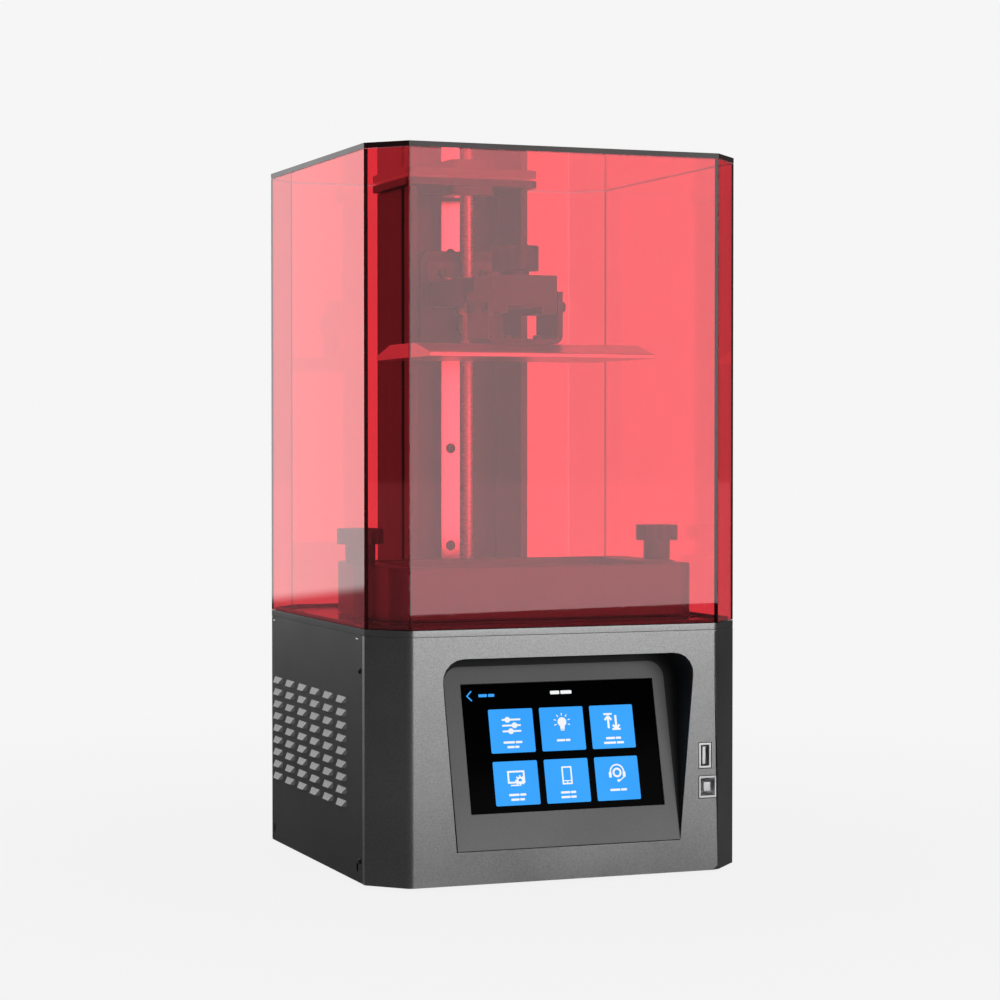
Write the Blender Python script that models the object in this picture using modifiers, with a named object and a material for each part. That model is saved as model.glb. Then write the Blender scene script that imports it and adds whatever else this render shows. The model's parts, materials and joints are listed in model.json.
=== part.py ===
"""Desktop resin printer with a lift-off tinted cover.

Metres. +X is the printer's right, its front faces -Y, +Z is up.
The origin is on the floor, under the middle of the base.
"""

import math

import bmesh
import bpy
from mathutils import Matrix, Vector

MM = 0.001

# Fits
GAP = 0.3 * MM  # between faces that touch
SCREW_CLEARANCE = 0.5 * MM  # round a screw that passes through a hole
TURNING_CLEARANCE = 1.0 * MM  # round a fan or rocker that turns in its frame

# Overall form: an octagonal plan, the base below and the cover above
WIDTH = 221 * MM
DEPTH = 221 * MM
HEIGHT = 404 * MM
CORNER_X = 19 * MM
CORNER_Y = 20 * MM
DECK_Z = 141 * MM

# Base shell
FOOT_HEIGHT = 2 * MM
FOOT_RADIUS = 9 * MM
FOOT_TAPER = 0.9 * MM  # a foot is narrower on the floor by this much
FOOT_INSET = 28 * MM
WALL = 2 * MM
FLOOR_THICKNESS = 2 * MM
DECK_THICKNESS = 3.5 * MM
SIDE_RETURN = 4 * MM

# Louvres in each side panel
LOUVRE_ROWS = 9
LOUVRE_COLUMNS = 6
LOUVRE_LENGTH = 16.8 * MM
LOUVRE_SLOT = 2.4 * MM
LOUVRE_ROW_PITCH = 7.2 * MM
LOUVRE_COLUMN_PITCH = 25.1 * MM
LOUVRE_INSET = 51.9 * MM  # from the front of the base to the first column
LOUVRE_FIRST_Z = 42.5 * MM

# Screen recess in the front: a tapered opening with a bezel that leans back
SCREEN_X = 2 * MM
RECESS_BOTTOM_Z = 20 * MM
RECESS_TOP_BELOW_DECK = 16 * MM
RECESS_BOTTOM_SIDES = 88 * MM  # front face left beside the opening, both sides together
RECESS_TOP_SIDES = 70 * MM
RECESS_RADIUS = 12 * MM
BEZEL_LEAN = math.radians(14.4)
BEZEL_THICKNESS = 3 * MM
BEZEL_WALL = 2 * MM
BEZEL_REACH = 45 * MM  # deeper than the bezel's top edge
DISPLAY_SIDES = 18 * MM  # bezel left beside the display, both sides together
DISPLAY_X = 1.2 * MM  # right of the middle of the bezel
DISPLAY_HEIGHT = 71.5 * MM
DISPLAY_THICKNESS = 5 * MM
DISPLAY_BOTTOM = 20 * MM  # up the bezel from the bottom of the recess

# Sockets in the front, right of the screen
SOCKET_INSET = 30.5 * MM  # from the side of the base
SOCKET_DEPTH = 14 * MM
SOCKET_WALL = 1.3 * MM
USB_A_SIZE = (7.5 * MM, 14.2 * MM)
USB_A_Z = 66.7 * MM
USB_B_SIZE = (11 * MM, 12.4 * MM)
USB_B_Z = 49 * MM
BOARD_THICKNESS = 1.6 * MM

# Light engine below the masking screen, on the axis of the build plate
LCD_SIDES = 78 * MM  # deck left beside the masking screen, both sides together
LCD_DEPTH = 89 * MM
LCD_TOP_ABOVE_DECK = 2 * MM
HOOD_WALL = 1.5 * MM
HOOD_RIM = 3 * MM
LED_BOARD_SIZE = 70 * MM
LED_BOARD_Z = 57 * MM
HEATSINK_BASE = 4 * MM
HEATSINK_HEIGHT = 24 * MM
HEATSINK_FINS = 8
HEATSINK_FIN = 2.5 * MM

# Fans: one under the light engine, one behind the rear panel
FAN_SIZE = 60 * MM
FAN_DEPTH = 15 * MM
FAN_RIM = 3 * MM  # thinnest part of the frame, and its corner radius
FAN_HUB_RADIUS = 14 * MM
FAN_BLADES = 7
BLADE_SHAPE = (0.18, 0.3, 0.45, 0.6)  # shares of a blade's sector: foot, tip, tip, foot
FLOOR_VENT_RADIUS = 27 * MM
EXHAUST_X = -40 * MM
EXHAUST_Z = 75 * MM
VENT_SLOTS = 7
VENT_SLOT_WIDTH = 4 * MM
VENT_SPREAD = 48 * MM  # between the middles of the outer slots
VENT_RADIUS = 28.2 * MM

# Main board, power inlet and switch
MAIN_BOARD_INSET = 12.5 * MM  # from the side of the base
MAIN_BOARD_Y = (-20 * MM, 80 * MM)
MAIN_BOARD_Z = (20 * MM, 118 * MM)
BOARD_PARTS = (
    # name, height off the board, place along and up it as shares, length and height
    ("processor_cooler", 8 * MM, (0.25, 0.55), (22 * MM, 22 * MM)),
    ("driver_cooler", 6 * MM, (0.7, 0.7), (12 * MM, 12 * MM)),
    ("connector_row", 9 * MM, (0.5, 0.12), (70 * MM, 8 * MM)),
)
INLET_X = 60 * MM
INLET_Z = 34 * MM
INLET_RADIUS = 6 * MM
INLET_BORE = 3.2 * MM
INLET_DEPTH = 14 * MM
SWITCH_X = 60 * MM
SWITCH_Z = 62 * MM
SWITCH_SIZE = (15 * MM, 21 * MM)
SWITCH_DEPTH = 16 * MM
SWITCH_WALL = 1.5 * MM
ROCKER_ANGLE = math.radians(10)  # half of the throw
ROCKER_THICKNESS = 5 * MM
ROCKER_SETBACK = 2 * MM  # pivot line behind the panel face
ROCKER_DISH = 0.4  # share of the rocker's rise that its middle is sunk by

# Z column
COLUMN_WIDTH = 75 * MM
COLUMN_DEPTH = 61 * MM
COLUMN_BEHIND = 1.5 * MM  # air between the column and the rear pane
COLUMN_WALL = 4.5 * MM
WEB_SETBACK = 42 * MM  # from the front of the column to its web
WEB_THICKNESS = 5 * MM
GROOVE_SETBACK = 9.5 * MM
GROOVE_WIDTH = 5 * MM
GROOVE_DEPTH = 3 * MM
LID_CLEARANCE = 0.8 * MM  # air between the cap and the cover's lid
CAP_OVERHANG = 3.8 * MM
CAP_FRONT_OVERHANG = 8 * MM
CAP_THICKNESS = 4.4 * MM
BOSS_WIDTH = 28 * MM
BOSS_DEPTH = 23 * MM
BOSS_HEIGHT = 5.4 * MM
RAIL_WIDTH = 12 * MM
RAIL_HEIGHT = 8 * MM
RAIL_LIFT = 9 * MM  # above the deck
RAIL_HOLE_RADIUS = 3.1 * MM
RAIL_FIRST_HOLE = 28.9 * MM  # from the bottom of the rail
RAIL_LAST_HOLE = 32.1 * MM  # from the top of the rail
RAIL_HOLES = 4

# Lead screw, its motor, nut and top bearing
SCREW_SETBACK = 4.4 * MM  # from the front of the column to the screw's axis
SCREW_RADIUS = 4 * MM
MOTOR_SIZE = 42.3 * MM
MOTOR_CORNER = 4 * MM
MOTOR_HEIGHT = 40 * MM
MOTOR_GRIP = 26 * MM  # length of screw inside the motor
DECK_HOLE_MARGIN = 8 * MM  # round the screw where it passes the deck
NUT_FLANGE = 4 * MM  # wider than the screw, all round
NUT_FLANGE_THICKNESS = 3.5 * MM
NUT_WALL = 0.8 * MM
NUT_LENGTH = 13.5 * MM
BEARING_WALL = 4 * MM  # wider than the screw, all round
BEARING_HEIGHT = 5 * MM
LIMIT_SWITCH_SIZE = (16 * MM, 11 * MM, 9 * MM)
LIMIT_SWITCH_LIFT = 4 * MM  # above the deck

# Carriage, measured up from the underside of the build plate
PLATE_BELOW_TOP = 105.5 * MM  # from the top of the column, as the printer stands
RAIL_BLOCK_WIDTH = 27 * MM
RAIL_BLOCK_LENGTH = 45.4 * MM
RAIL_BLOCK_HEIGHT = 10 * MM
RAIL_BLOCK_LIFT = 3 * MM
CARRIAGE_WIDTH = 54 * MM
CARRIAGE_LOW = 10 * MM
CARRIAGE_HEIGHT = 58 * MM
CARRIAGE_RADIUS = 7 * MM
ARM_REACH = 46 * MM  # from the screw's axis forwards
ARM_WIDTH = 40 * MM
ARM_LOW = 33 * MM
ARM_HEIGHT = 15.6 * MM
TONGUE_WIDTH = 20 * MM
TONGUE_HEIGHT = 8 * MM
TONGUE_LENGTH = 45 * MM

# Removable platform: block, bracket, plate and clamp knob
PLATE_REACH = 79.4 * MM  # from the screw's axis to the middle of the plate
BLOCK_DEPTH = 32 * MM
BLOCK_LOW = 26 * MM
BLOCK_HEIGHT = 21.8 * MM
BLOCK_CHANNEL = 3.6 * MM
BRACKET_WIDTH = 46 * MM
BRACKET_DEPTH = 33.5 * MM
BRACKET_WALL = 3 * MM
BRACKET_HEIGHT = 30.1 * MM
BRACKET_RADIUS = 5 * MM
BUILD_MARGIN = 14 * MM  # the plate is this much narrower than the vat's cavity
BUILD_DEPTH = 90 * MM
BUILD_TOP_DEPTH = 42 * MM
BUILD_EDGE = 2.5 * MM
BUILD_THICKNESS = 8.2 * MM
LEVEL_SCREW_PITCH = 23.2 * MM
LEVEL_SCREW_LOW = 30 * MM
LEVEL_SCREW_RADIUS = 2 * MM
LEVEL_SCREW_GRIP = 6 * MM
LEVEL_HEAD_RADIUS = 3 * MM
LEVEL_HEAD_HEIGHT = 2.5 * MM
CLAMP_RADIUS = 14.2 * MM
CLAMP_HEIGHT = 14 * MM
CLAMP_NECK_RADIUS = 8.2 * MM
CLAMP_NECK_HEIGHT = 3 * MM
CLAMP_STEM_RADIUS = 3 * MM
KNOB_LOBES = 8
KNOB_LOBE_DEPTH = 1.2 * MM

# Resin vat
VAT_END_WALL = 15.4 * MM
VAT_SIDE_WALL = 3.5 * MM
VAT_HEIGHT = 29.6 * MM
VAT_RADIUS = 10 * MM
EAR_REACH = 7 * MM
EAR_DEPTH = 36 * MM
CAVITY_MARGIN_X = 7 * MM  # the cavity is this much longer than the masking screen
CAVITY_MARGIN_Y = 8 * MM
CAVITY_RADIUS = 8 * MM
RING_THICKNESS = 1.7 * MM
RING_MARGIN = 2 * MM  # the clamping ring opens this much wider than the cavity
FILM_THICKNESS = 0.3 * MM
FILM_MARGIN = 3 * MM  # the film reaches this far under the walls
VAT_KNOB_OUTSET = 0.5 * MM  # beyond the end wall of the vat
VAT_KNOB_BEHIND = 2.8 * MM  # behind the middle of the vat
VAT_KNOB_RADIUS = 12.7 * MM
VAT_KNOB_LIFT = 11.5 * MM  # underside of the head above the vat
VAT_KNOB_HEAD = 8.7 * MM
VAT_KNOB_STEM_RADIUS = 7.8 * MM
VAT_SCREW_RADIUS = 3 * MM
VAT_SCREW_BELOW_DECK = 3.5 * MM

# Cover
PANE = 3 * MM

# Sizes that follow from the ones above
BASE_Z = FOOT_HEIGHT
SHELL_TOP_Z = DECK_Z - DECK_THICKNESS - GAP
FLOOR_TOP_Z = BASE_Z + FLOOR_THICKNESS
RECESS_FRONT_Y = -DEPTH / 2
RECESS_TOP_Z = DECK_Z - RECESS_TOP_BELOW_DECK
RECESS_BOTTOM_WIDTH = WIDTH - RECESS_BOTTOM_SIDES
RECESS_TOP_WIDTH = WIDTH - RECESS_TOP_SIDES
DISPLAY_WIDTH = RECESS_BOTTOM_WIDTH - DISPLAY_SIDES
SOCKET_LEFT_X = WIDTH / 2 - SOCKET_INSET
MAIN_BOARD_X = WIDTH / 2 - MAIN_BOARD_INSET
LCD_WIDTH = WIDTH - LCD_SIDES
LCD_TOP_Z = DECK_Z + LCD_TOP_ABOVE_DECK
COLUMN_BACK_Y = DEPTH / 2 - PANE - COLUMN_BEHIND
COLUMN_FRONT_Y = COLUMN_BACK_Y - COLUMN_DEPTH
COLUMN_TOP_Z = HEIGHT - PANE - LID_CLEARANCE - CAP_THICKNESS - GAP
WEB_FRONT_Y = COLUMN_FRONT_Y + WEB_SETBACK
GROOVE_FRONT_Y = COLUMN_FRONT_Y + GROOVE_SETBACK
CAP_FRONT_Y = COLUMN_FRONT_Y - CAP_FRONT_OVERHANG
BEARING_TOP_Z = COLUMN_TOP_Z + GAP - BOSS_HEIGHT + BEARING_HEIGHT
SCREW_Y = COLUMN_FRONT_Y + SCREW_SETBACK
SCREW_TOP_Z = BEARING_TOP_Z - GAP
BEARING_RADIUS = SCREW_RADIUS + BEARING_WALL
NUT_RADIUS = SCREW_RADIUS + GAP + NUT_WALL
NUT_FLANGE_RADIUS = SCREW_RADIUS + NUT_FLANGE
DECK_HOLE_RADIUS = SCREW_RADIUS + DECK_HOLE_MARGIN
RAIL_BOTTOM_Z = DECK_Z + RAIL_LIFT
RAIL_TOP_Z = COLUMN_TOP_Z - BOSS_HEIGHT
RAIL_HOLE_PITCH = (RAIL_TOP_Z - RAIL_LAST_HOLE - RAIL_BOTTOM_Z - RAIL_FIRST_HOLE) / (RAIL_HOLES - 1)
RAIL_FACE_Y = WEB_FRONT_Y - GAP - RAIL_HEIGHT
SLIDER_FRONT_Y = WEB_FRONT_Y - RAIL_BLOCK_LIFT - RAIL_BLOCK_HEIGHT
PLATE_Y = SCREW_Y - PLATE_REACH
PLATE_Z = COLUMN_TOP_Z - PLATE_BELOW_TOP
CARRIAGE_Z = PLATE_Z + CARRIAGE_LOW
CARRIAGE_FRONT_Y = SCREW_Y + NUT_FLANGE_RADIUS + 2 * GAP
ARM_FRONT_Y = SCREW_Y - ARM_REACH
ARM_Z = PLATE_Z + ARM_LOW
TONGUE_TOP_Z = ARM_Z + TONGUE_HEIGHT
BLOCK_Z = PLATE_Z + BLOCK_LOW
BLOCK_TOP_Z = BLOCK_Z + BLOCK_HEIGHT
BRACKET_Z = PLATE_Z + BUILD_THICKNESS + GAP
LEVEL_Z = PLATE_Z + LEVEL_SCREW_LOW
CLAMP_Z = BLOCK_TOP_Z + GAP
NUT_TOP_Z = ARM_Z - GAP
CAVITY_WIDTH = LCD_WIDTH + CAVITY_MARGIN_X
CAVITY_DEPTH = LCD_DEPTH + CAVITY_MARGIN_Y
VAT_WIDTH = CAVITY_WIDTH + 2 * VAT_END_WALL
VAT_DEPTH = CAVITY_DEPTH + 2 * VAT_SIDE_WALL
BUILD_WIDTH = CAVITY_WIDTH - BUILD_MARGIN
RING_TOP_Z = DECK_Z + GAP + RING_THICKNESS
FILM_Z = RING_TOP_Z + GAP
VAT_Y = PLATE_Y
VAT_Z = FILM_Z + FILM_THICKNESS + GAP
VAT_TOP_Z = VAT_Z + VAT_HEIGHT
VAT_KNOB_X = VAT_WIDTH / 2 + VAT_KNOB_OUTSET
VAT_KNOB_Y = VAT_Y + VAT_KNOB_BEHIND
VAT_KNOB_Z = VAT_TOP_Z + VAT_KNOB_LIFT

ROUND = 32  # sides of a round piece
SMALL_ROUND = 16  # sides of a screw or a small hole


def clear_scene():
    for thing in list(bpy.data.objects):
        bpy.data.objects.remove(thing, do_unlink=True)
    for group in list(bpy.data.collections):
        bpy.data.collections.remove(group)


def add_collection(name):
    group = bpy.data.collections.new(name)
    bpy.context.scene.collection.children.link(group)
    return group


def finish(name, colour, roughness, metallic=0.0, alpha=1.0):
    """A Principled material."""
    material = bpy.data.materials.new(name)
    material.use_nodes = True
    shader = material.node_tree.nodes["Principled BSDF"]
    shader.inputs["Base Color"].default_value = (*colour, 1.0)
    shader.inputs["Roughness"].default_value = roughness
    shader.inputs["Metallic"].default_value = metallic
    shader.inputs["Alpha"].default_value = alpha
    material.diffuse_color = (*colour, alpha)
    return material


# Outlines


def offset_outline(points, distance):
    """A convex counter-clockwise outline with every side moved outwards by distance."""
    moved = []
    for i, point in enumerate(points):
        here = Vector(point)
        came = (here - Vector(points[i - 1])).normalized()
        goes = (Vector(points[(i + 1) % len(points)]) - here).normalized()
        first = Vector((came.y, -came.x))
        second = Vector((goes.y, -goes.x))
        moved.append(tuple(here + (first + second) * distance / (1 + first.dot(second))))
    return moved


def rounded_outline(corners, radii, steps=5):
    """The outline through the corners, each turned with its own radius; zero stays sharp."""
    outline = []
    for i, radius in enumerate(radii):
        corner = Vector(corners[i])
        if radius == 0:
            outline.append(tuple(corner))
            continue
        back = (Vector(corners[i - 1]) - corner).normalized()
        ahead = (Vector(corners[(i + 1) % len(corners)]) - corner).normalized()
        half = back.angle(ahead) / 2
        centre = corner + (back + ahead).normalized() * radius / math.sin(half)
        start = corner + back * radius / math.tan(half) - centre
        end = corner + ahead * radius / math.tan(half) - centre
        sweep = math.atan2(start.x * end.y - start.y * end.x, start.dot(end))
        for step in range(steps + 1):
            angle = math.atan2(start.y, start.x) + sweep * step / steps
            outline.append((centre.x + radius * math.cos(angle), centre.y + radius * math.sin(angle)))
    return outline


def rectangle(width, depth, centre=(0.0, 0.0), radius=0.0, steps=5):
    x, y = centre
    corners = [
        (x - width / 2, y - depth / 2),
        (x + width / 2, y - depth / 2),
        (x + width / 2, y + depth / 2),
        (x - width / 2, y + depth / 2),
    ]
    return rounded_outline(corners, [radius] * 4, steps)


def circle(radius, centre=(0.0, 0.0), sides=ROUND):
    angles = [2 * math.pi * i / sides for i in range(sides)]
    return [(centre[0] + radius * math.cos(a), centre[1] + radius * math.sin(a)) for a in angles]


def lobed(radius, depth, lobes, centre, points_per_lobe=6):
    """A knob's outline, with a shallow hollow between each two lobes."""
    outline = []
    for i in range(lobes * points_per_lobe):
        angle = 2 * math.pi * i / (lobes * points_per_lobe)
        hollow = 0.5 - 0.5 * math.cos(lobes * angle)
        reach = radius - depth * hollow**2
        outline.append((centre[0] + reach * math.cos(angle), centre[1] + reach * math.sin(angle)))
    return outline


def octagon(inset=0.0):
    """The plan of base and cover, counter-clockwise from the left end of the front left chamfer."""
    x, y = WIDTH / 2, DEPTH / 2
    quarter = [(x, y - CORNER_Y), (x - CORNER_X, y)]
    front = [(-a, -b) for a, b in quarter] + [(a, -b) for a, b in reversed(quarter)]
    back = quarter + [(-a, b) for a, b in reversed(quarter)]
    return offset_outline(front + back, -inset)


# Meshes and objects

PLANES = {
    # outline axes -> world axes; the prism runs along the third one
    "XY": Matrix.Identity(3),
    "XZ": Matrix(((1, 0, 0), (0, 0, -1), (0, 1, 0))),
    "YZ": Matrix(((0, 0, 1), (1, 0, 0), (0, 1, 0))),
}
RUNS_ALONG = {"XY": 2, "XZ": 1, "YZ": 0}


def prism_mesh(name, outlines, low, high, plane="XY"):
    """A flat outline, with any holes as further outlines, extruded from low to high."""
    curve = bpy.data.curves.new(name, "CURVE")
    curve.dimensions = "2D"
    curve.fill_mode = "BOTH"
    curve.extrude = (high - low) / 2
    for outline in outlines:
        spline = curve.splines.new("POLY")
        spline.points.add(len(outline) - 1)
        for point, (u, v) in zip(spline.points, outline):
            point.co = (u, v, 0, 1)
        spline.use_cyclic_u = True
    holder = bpy.data.objects.new(name, curve)
    bpy.context.scene.collection.objects.link(holder)
    seen = holder.evaluated_get(bpy.context.evaluated_depsgraph_get())
    mesh = bpy.data.meshes.new_from_object(seen)
    bpy.data.objects.remove(holder)
    bpy.data.curves.remove(curve)
    turned = PLANES[plane].to_4x4()
    middle = Vector((0, 0, 0))
    middle[RUNS_ALONG[plane]] = (low + high) / 2
    shape = bmesh.new()
    shape.from_mesh(mesh)
    bmesh.ops.remove_doubles(shape, verts=shape.verts, dist=1e-6)
    shape.transform(Matrix.Translation(middle) @ turned)
    shape.normal_update()
    bmesh.ops.recalc_face_normals(shape, faces=shape.faces)
    shape.to_mesh(mesh)
    shape.free()
    mesh.name = name
    return mesh


def box_mesh(name, low, high):
    low, high = Vector(low), Vector(high)
    shape = bmesh.new()
    size = Matrix.Diagonal((*(high - low), 1.0))
    bmesh.ops.create_cube(shape, size=1, matrix=Matrix.Translation((low + high) / 2) @ size)
    mesh = bpy.data.meshes.new(name)
    shape.to_mesh(mesh)
    shape.free()
    return mesh


def rod_mesh(name, radius, start, end, sides=ROUND, end_radius=None):
    """A cylinder or cone between two points."""
    start, end = Vector(start), Vector(end)
    along = end - start
    turn = along.to_track_quat("Z", "Y").to_matrix().to_4x4()
    shape = bmesh.new()
    bmesh.ops.create_cone(
        shape,
        cap_ends=True,
        segments=sides,
        radius1=radius,
        radius2=radius if end_radius is None else end_radius,
        depth=along.length,
        matrix=Matrix.Translation((start + end) / 2) @ turn,
    )
    mesh = bpy.data.meshes.new(name)
    shape.to_mesh(mesh)
    shape.free()
    return mesh


def slice_off(mesh, point, normal):
    """Cut away what lies beyond the plane and close the cut."""
    shape = bmesh.new()
    shape.from_mesh(mesh)
    everything = shape.verts[:] + shape.edges[:] + shape.faces[:]
    cut = bmesh.ops.bisect_plane(
        shape, geom=everything, dist=1e-6, plane_co=point, plane_no=normal, clear_outer=True
    )
    edges = [item for item in cut["geom_cut"] if isinstance(item, bmesh.types.BMEdge)]
    bmesh.ops.holes_fill(shape, edges=edges)
    shape.normal_update()
    bmesh.ops.recalc_face_normals(shape, faces=shape.faces)
    shape.to_mesh(mesh)
    shape.free()


def add_part(name, mesh, material, body=None):
    """A named piece in the printer's collection, carried by the body's empty if it moves."""
    part = bpy.data.objects.new(name, mesh)
    mesh.materials.clear()
    mesh.materials.append(material)
    PARTS.objects.link(part)
    if body is not None:
        part.parent = body
        part.matrix_parent_inverse = Matrix.Translation(body.location).inverted()
    return part


def add_tool(name, mesh):
    """A hidden shape that cuts or is joined to a part."""
    tool = bpy.data.objects.new(name, mesh)
    tool.hide_render = True
    tool.display_type = "WIRE"
    CUTTERS.objects.link(tool)
    return tool


def combine(part, operation, mesh):
    modifier = part.modifiers.new(mesh.name, "BOOLEAN")
    modifier.operation = operation
    modifier.solver = "EXACT"
    modifier.object = add_tool(mesh.name, mesh)


def cut(part, mesh):
    combine(part, "DIFFERENCE", mesh)


def join(part, mesh):
    combine(part, "UNION", mesh)


def smooth(part, angle=40):
    part.data.shade_smooth()
    part.data.set_sharp_from_angle(angle=math.radians(angle))


def add_body(name, location):
    """An empty on a joint's axis; the pieces that move with the joint are its children."""
    body = bpy.data.objects.new(name, None)
    body.location = location
    body.empty_display_size = 0.02
    PARTS.objects.link(body)
    return body


# Base shell


def wrap(points, inner_points, low, high, name):
    """A bent sheet: along the outer points and back along the inner ones."""
    return prism_mesh(name, [points + inner_points[::-1]], low, high)


def recess_outline(grow=0.0):
    half_bottom, half_top = RECESS_BOTTOM_WIDTH / 2, RECESS_TOP_WIDTH / 2
    corners = [
        (SCREEN_X - half_bottom, RECESS_BOTTOM_Z),
        (SCREEN_X + half_bottom, RECESS_BOTTOM_Z),
        (SCREEN_X + half_top, RECESS_TOP_Z),
        (SCREEN_X - half_top, RECESS_TOP_Z),
    ]
    radius = RECESS_RADIUS + grow
    return rounded_outline(offset_outline(corners, grow), [0, 0, radius, radius])


def socket_outline(size, z, grow=0.0):
    width, height = size
    centre = (SOCKET_LEFT_X + width / 2, z)
    return rectangle(width + 2 * grow, height + 2 * grow, centre)


def make_front_housing(material):
    outer, inner = octagon(), octagon(WALL)
    end_y = -DEPTH / 2 + CORNER_Y + SIDE_RETURN
    outer_run = [(-WIDTH / 2, end_y), *outer[:4], (WIDTH / 2, end_y)]
    inner_run = [(-WIDTH / 2 + WALL, end_y), *inner[:4], (WIDTH / 2 - WALL, end_y)]
    mesh = wrap(outer_run, inner_run, BASE_Z, SHELL_TOP_Z, "front_housing")
    housing = add_part("front_housing", mesh, material)
    through = (-DEPTH / 2 - WALL, -DEPTH / 2 + 2 * WALL)
    cut(housing, prism_mesh("recess_hole", [recess_outline()], *through, "XZ"))
    for name, size, z in (("a", USB_A_SIZE, USB_A_Z), ("b", USB_B_SIZE, USB_B_Z)):
        hole = socket_outline(size, z, GAP)
        cut(housing, prism_mesh(f"usb_{name}_hole", [hole], *through, "XZ"))


def make_side_panel(name, side, material):
    first_y = -DEPTH / 2 + CORNER_Y + SIDE_RETURN + GAP
    last_y = octagon(WALL)[4][1] - GAP
    middle = ((first_y + last_y) / 2, (BASE_Z + SHELL_TOP_Z) / 2)
    sheet = rectangle(last_y - first_y, SHELL_TOP_Z - BASE_Z, middle)
    slots = []
    first_louvre = -DEPTH / 2 + LOUVRE_INSET + LOUVRE_LENGTH / 2
    for row in range(LOUVRE_ROWS):
        for column in range(LOUVRE_COLUMNS):
            y = first_louvre + column * LOUVRE_COLUMN_PITCH
            z = LOUVRE_FIRST_Z + row * LOUVRE_ROW_PITCH
            slots.append(rectangle(LOUVRE_LENGTH, LOUVRE_SLOT, (y, z)))
    low, high = sorted((side * WIDTH / 2, side * (WIDTH / 2 - WALL)))
    add_part(name, prism_mesh(name, [sheet, *slots], low, high, "YZ"), material)


def make_rear_panel(material):
    outer, inner = octagon()[4:], octagon(WALL)[4:]
    panel = add_part("rear_panel", wrap(outer, inner, BASE_Z, SHELL_TOP_Z, "rear_panel"), material)
    through = (DEPTH / 2 - 2 * WALL, DEPTH / 2 + WALL)
    opening = rectangle(SWITCH_SIZE[0] + 2 * GAP, SWITCH_SIZE[1] + 2 * GAP, (SWITCH_X, SWITCH_Z))
    cut(panel, prism_mesh("switch_hole", [opening], *through, "XZ"))
    cut(panel, prism_mesh("inlet_hole", [circle(INLET_RADIUS + GAP, (INLET_X, INLET_Z))], *through, "XZ"))
    for i in range(VENT_SLOTS):
        offset = (i / (VENT_SLOTS - 1) - 0.5) * VENT_SPREAD
        half = math.sqrt(VENT_RADIUS**2 - offset**2)
        slot = rectangle(VENT_SLOT_WIDTH, 2 * half, (EXHAUST_X + offset, EXHAUST_Z))
        cut(panel, prism_mesh(f"vent_slot_{i + 1}", [slot], *through, "XZ"))


def make_bottom_plate(material):
    vent = circle(FLOOR_VENT_RADIUS, (0, PLATE_Y))
    add_part(
        "bottom_plate",
        prism_mesh("bottom_plate", [octagon(WALL + GAP), vent], BASE_Z, FLOOR_TOP_Z),
        material,
    )


def make_feet(material):
    places = [(x, y) for y in (-1, 1) for x in (-1, 1)]
    for number, (x, y) in enumerate(places, 1):
        centre = Vector((x * (WIDTH / 2 - FOOT_INSET), y * (DEPTH / 2 - FOOT_INSET), 0))
        top = centre + Vector((0, 0, FOOT_HEIGHT - GAP))
        mesh = rod_mesh(f"foot_{number}", FOOT_RADIUS - FOOT_TAPER, centre, top, ROUND, FOOT_RADIUS)
        smooth(add_part(f"foot_{number}", mesh, material))


def make_top_deck(material):
    opening = rectangle(LCD_WIDTH + 2 * GAP, LCD_DEPTH + 2 * GAP, (0, PLATE_Y))
    screw_hole = circle(DECK_HOLE_RADIUS, (0, SCREW_Y))
    knob_radius = VAT_SCREW_RADIUS + SCREW_CLEARANCE
    knob_holes = [circle(knob_radius, (x, VAT_KNOB_Y), SMALL_ROUND) for x in (-VAT_KNOB_X, VAT_KNOB_X)]
    outlines = [octagon(), opening, screw_hole, *knob_holes]
    add_part("top_deck", prism_mesh("top_deck", outlines, DECK_Z - DECK_THICKNESS, DECK_Z), material)


# Screen and sockets


def lean(point):
    """A point given across the bezel, up its slope and behind its face, in world axes."""
    x, up, behind = point
    slope = Matrix.Rotation(-BEZEL_LEAN, 3, "X")
    foot = Vector((SCREEN_X, RECESS_FRONT_Y, RECESS_BOTTOM_Z))
    return foot + slope @ Vector((x, behind, up))


def leaning_box(name, width, bottom, height, front, back):
    """A box parallel to the bezel's face."""
    low = (DISPLAY_X - width / 2, front, bottom)
    high = (DISPLAY_X + width / 2, back, bottom + height)
    mesh = box_mesh(name, low, high)
    slope = Matrix.Rotation(-BEZEL_LEAN, 4, "X")
    mesh.transform(Matrix.Translation((SCREEN_X, RECESS_FRONT_Y, RECESS_BOTTOM_Z)) @ slope)
    return mesh


def make_screen_bezel(material):
    back_y = -DEPTH / 2 + BEZEL_REACH
    behind = lean((0, 0, BEZEL_THICKNESS))
    away = Matrix.Rotation(-BEZEL_LEAN, 3, "X") @ Vector((0, 1, 0))
    core = prism_mesh("screen_bezel", [recess_outline(-GAP)], -DEPTH / 2, back_y, "XZ")
    inside_y = -DEPTH / 2 + WALL + GAP
    walls = prism_mesh("bezel_walls", [recess_outline(BEZEL_WALL)], inside_y, back_y, "XZ")
    space = prism_mesh("recess_space", [recess_outline(-GAP)], -DEPTH / 2 - WALL, back_y, "XZ")
    slice_off(core, behind, away)
    slice_off(walls, behind, away)
    slice_off(space, lean((0, 0, 0)), away)
    bezel = add_part("screen_bezel", core, material)
    join(bezel, walls)
    cut(bezel, space)
    window = leaning_box(
        "display_window",
        DISPLAY_WIDTH + 2 * GAP,
        DISPLAY_BOTTOM - GAP,
        DISPLAY_HEIGHT + 2 * GAP,
        -BEZEL_THICKNESS,
        3 * BEZEL_THICKNESS,
    )
    cut(bezel, window)


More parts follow.
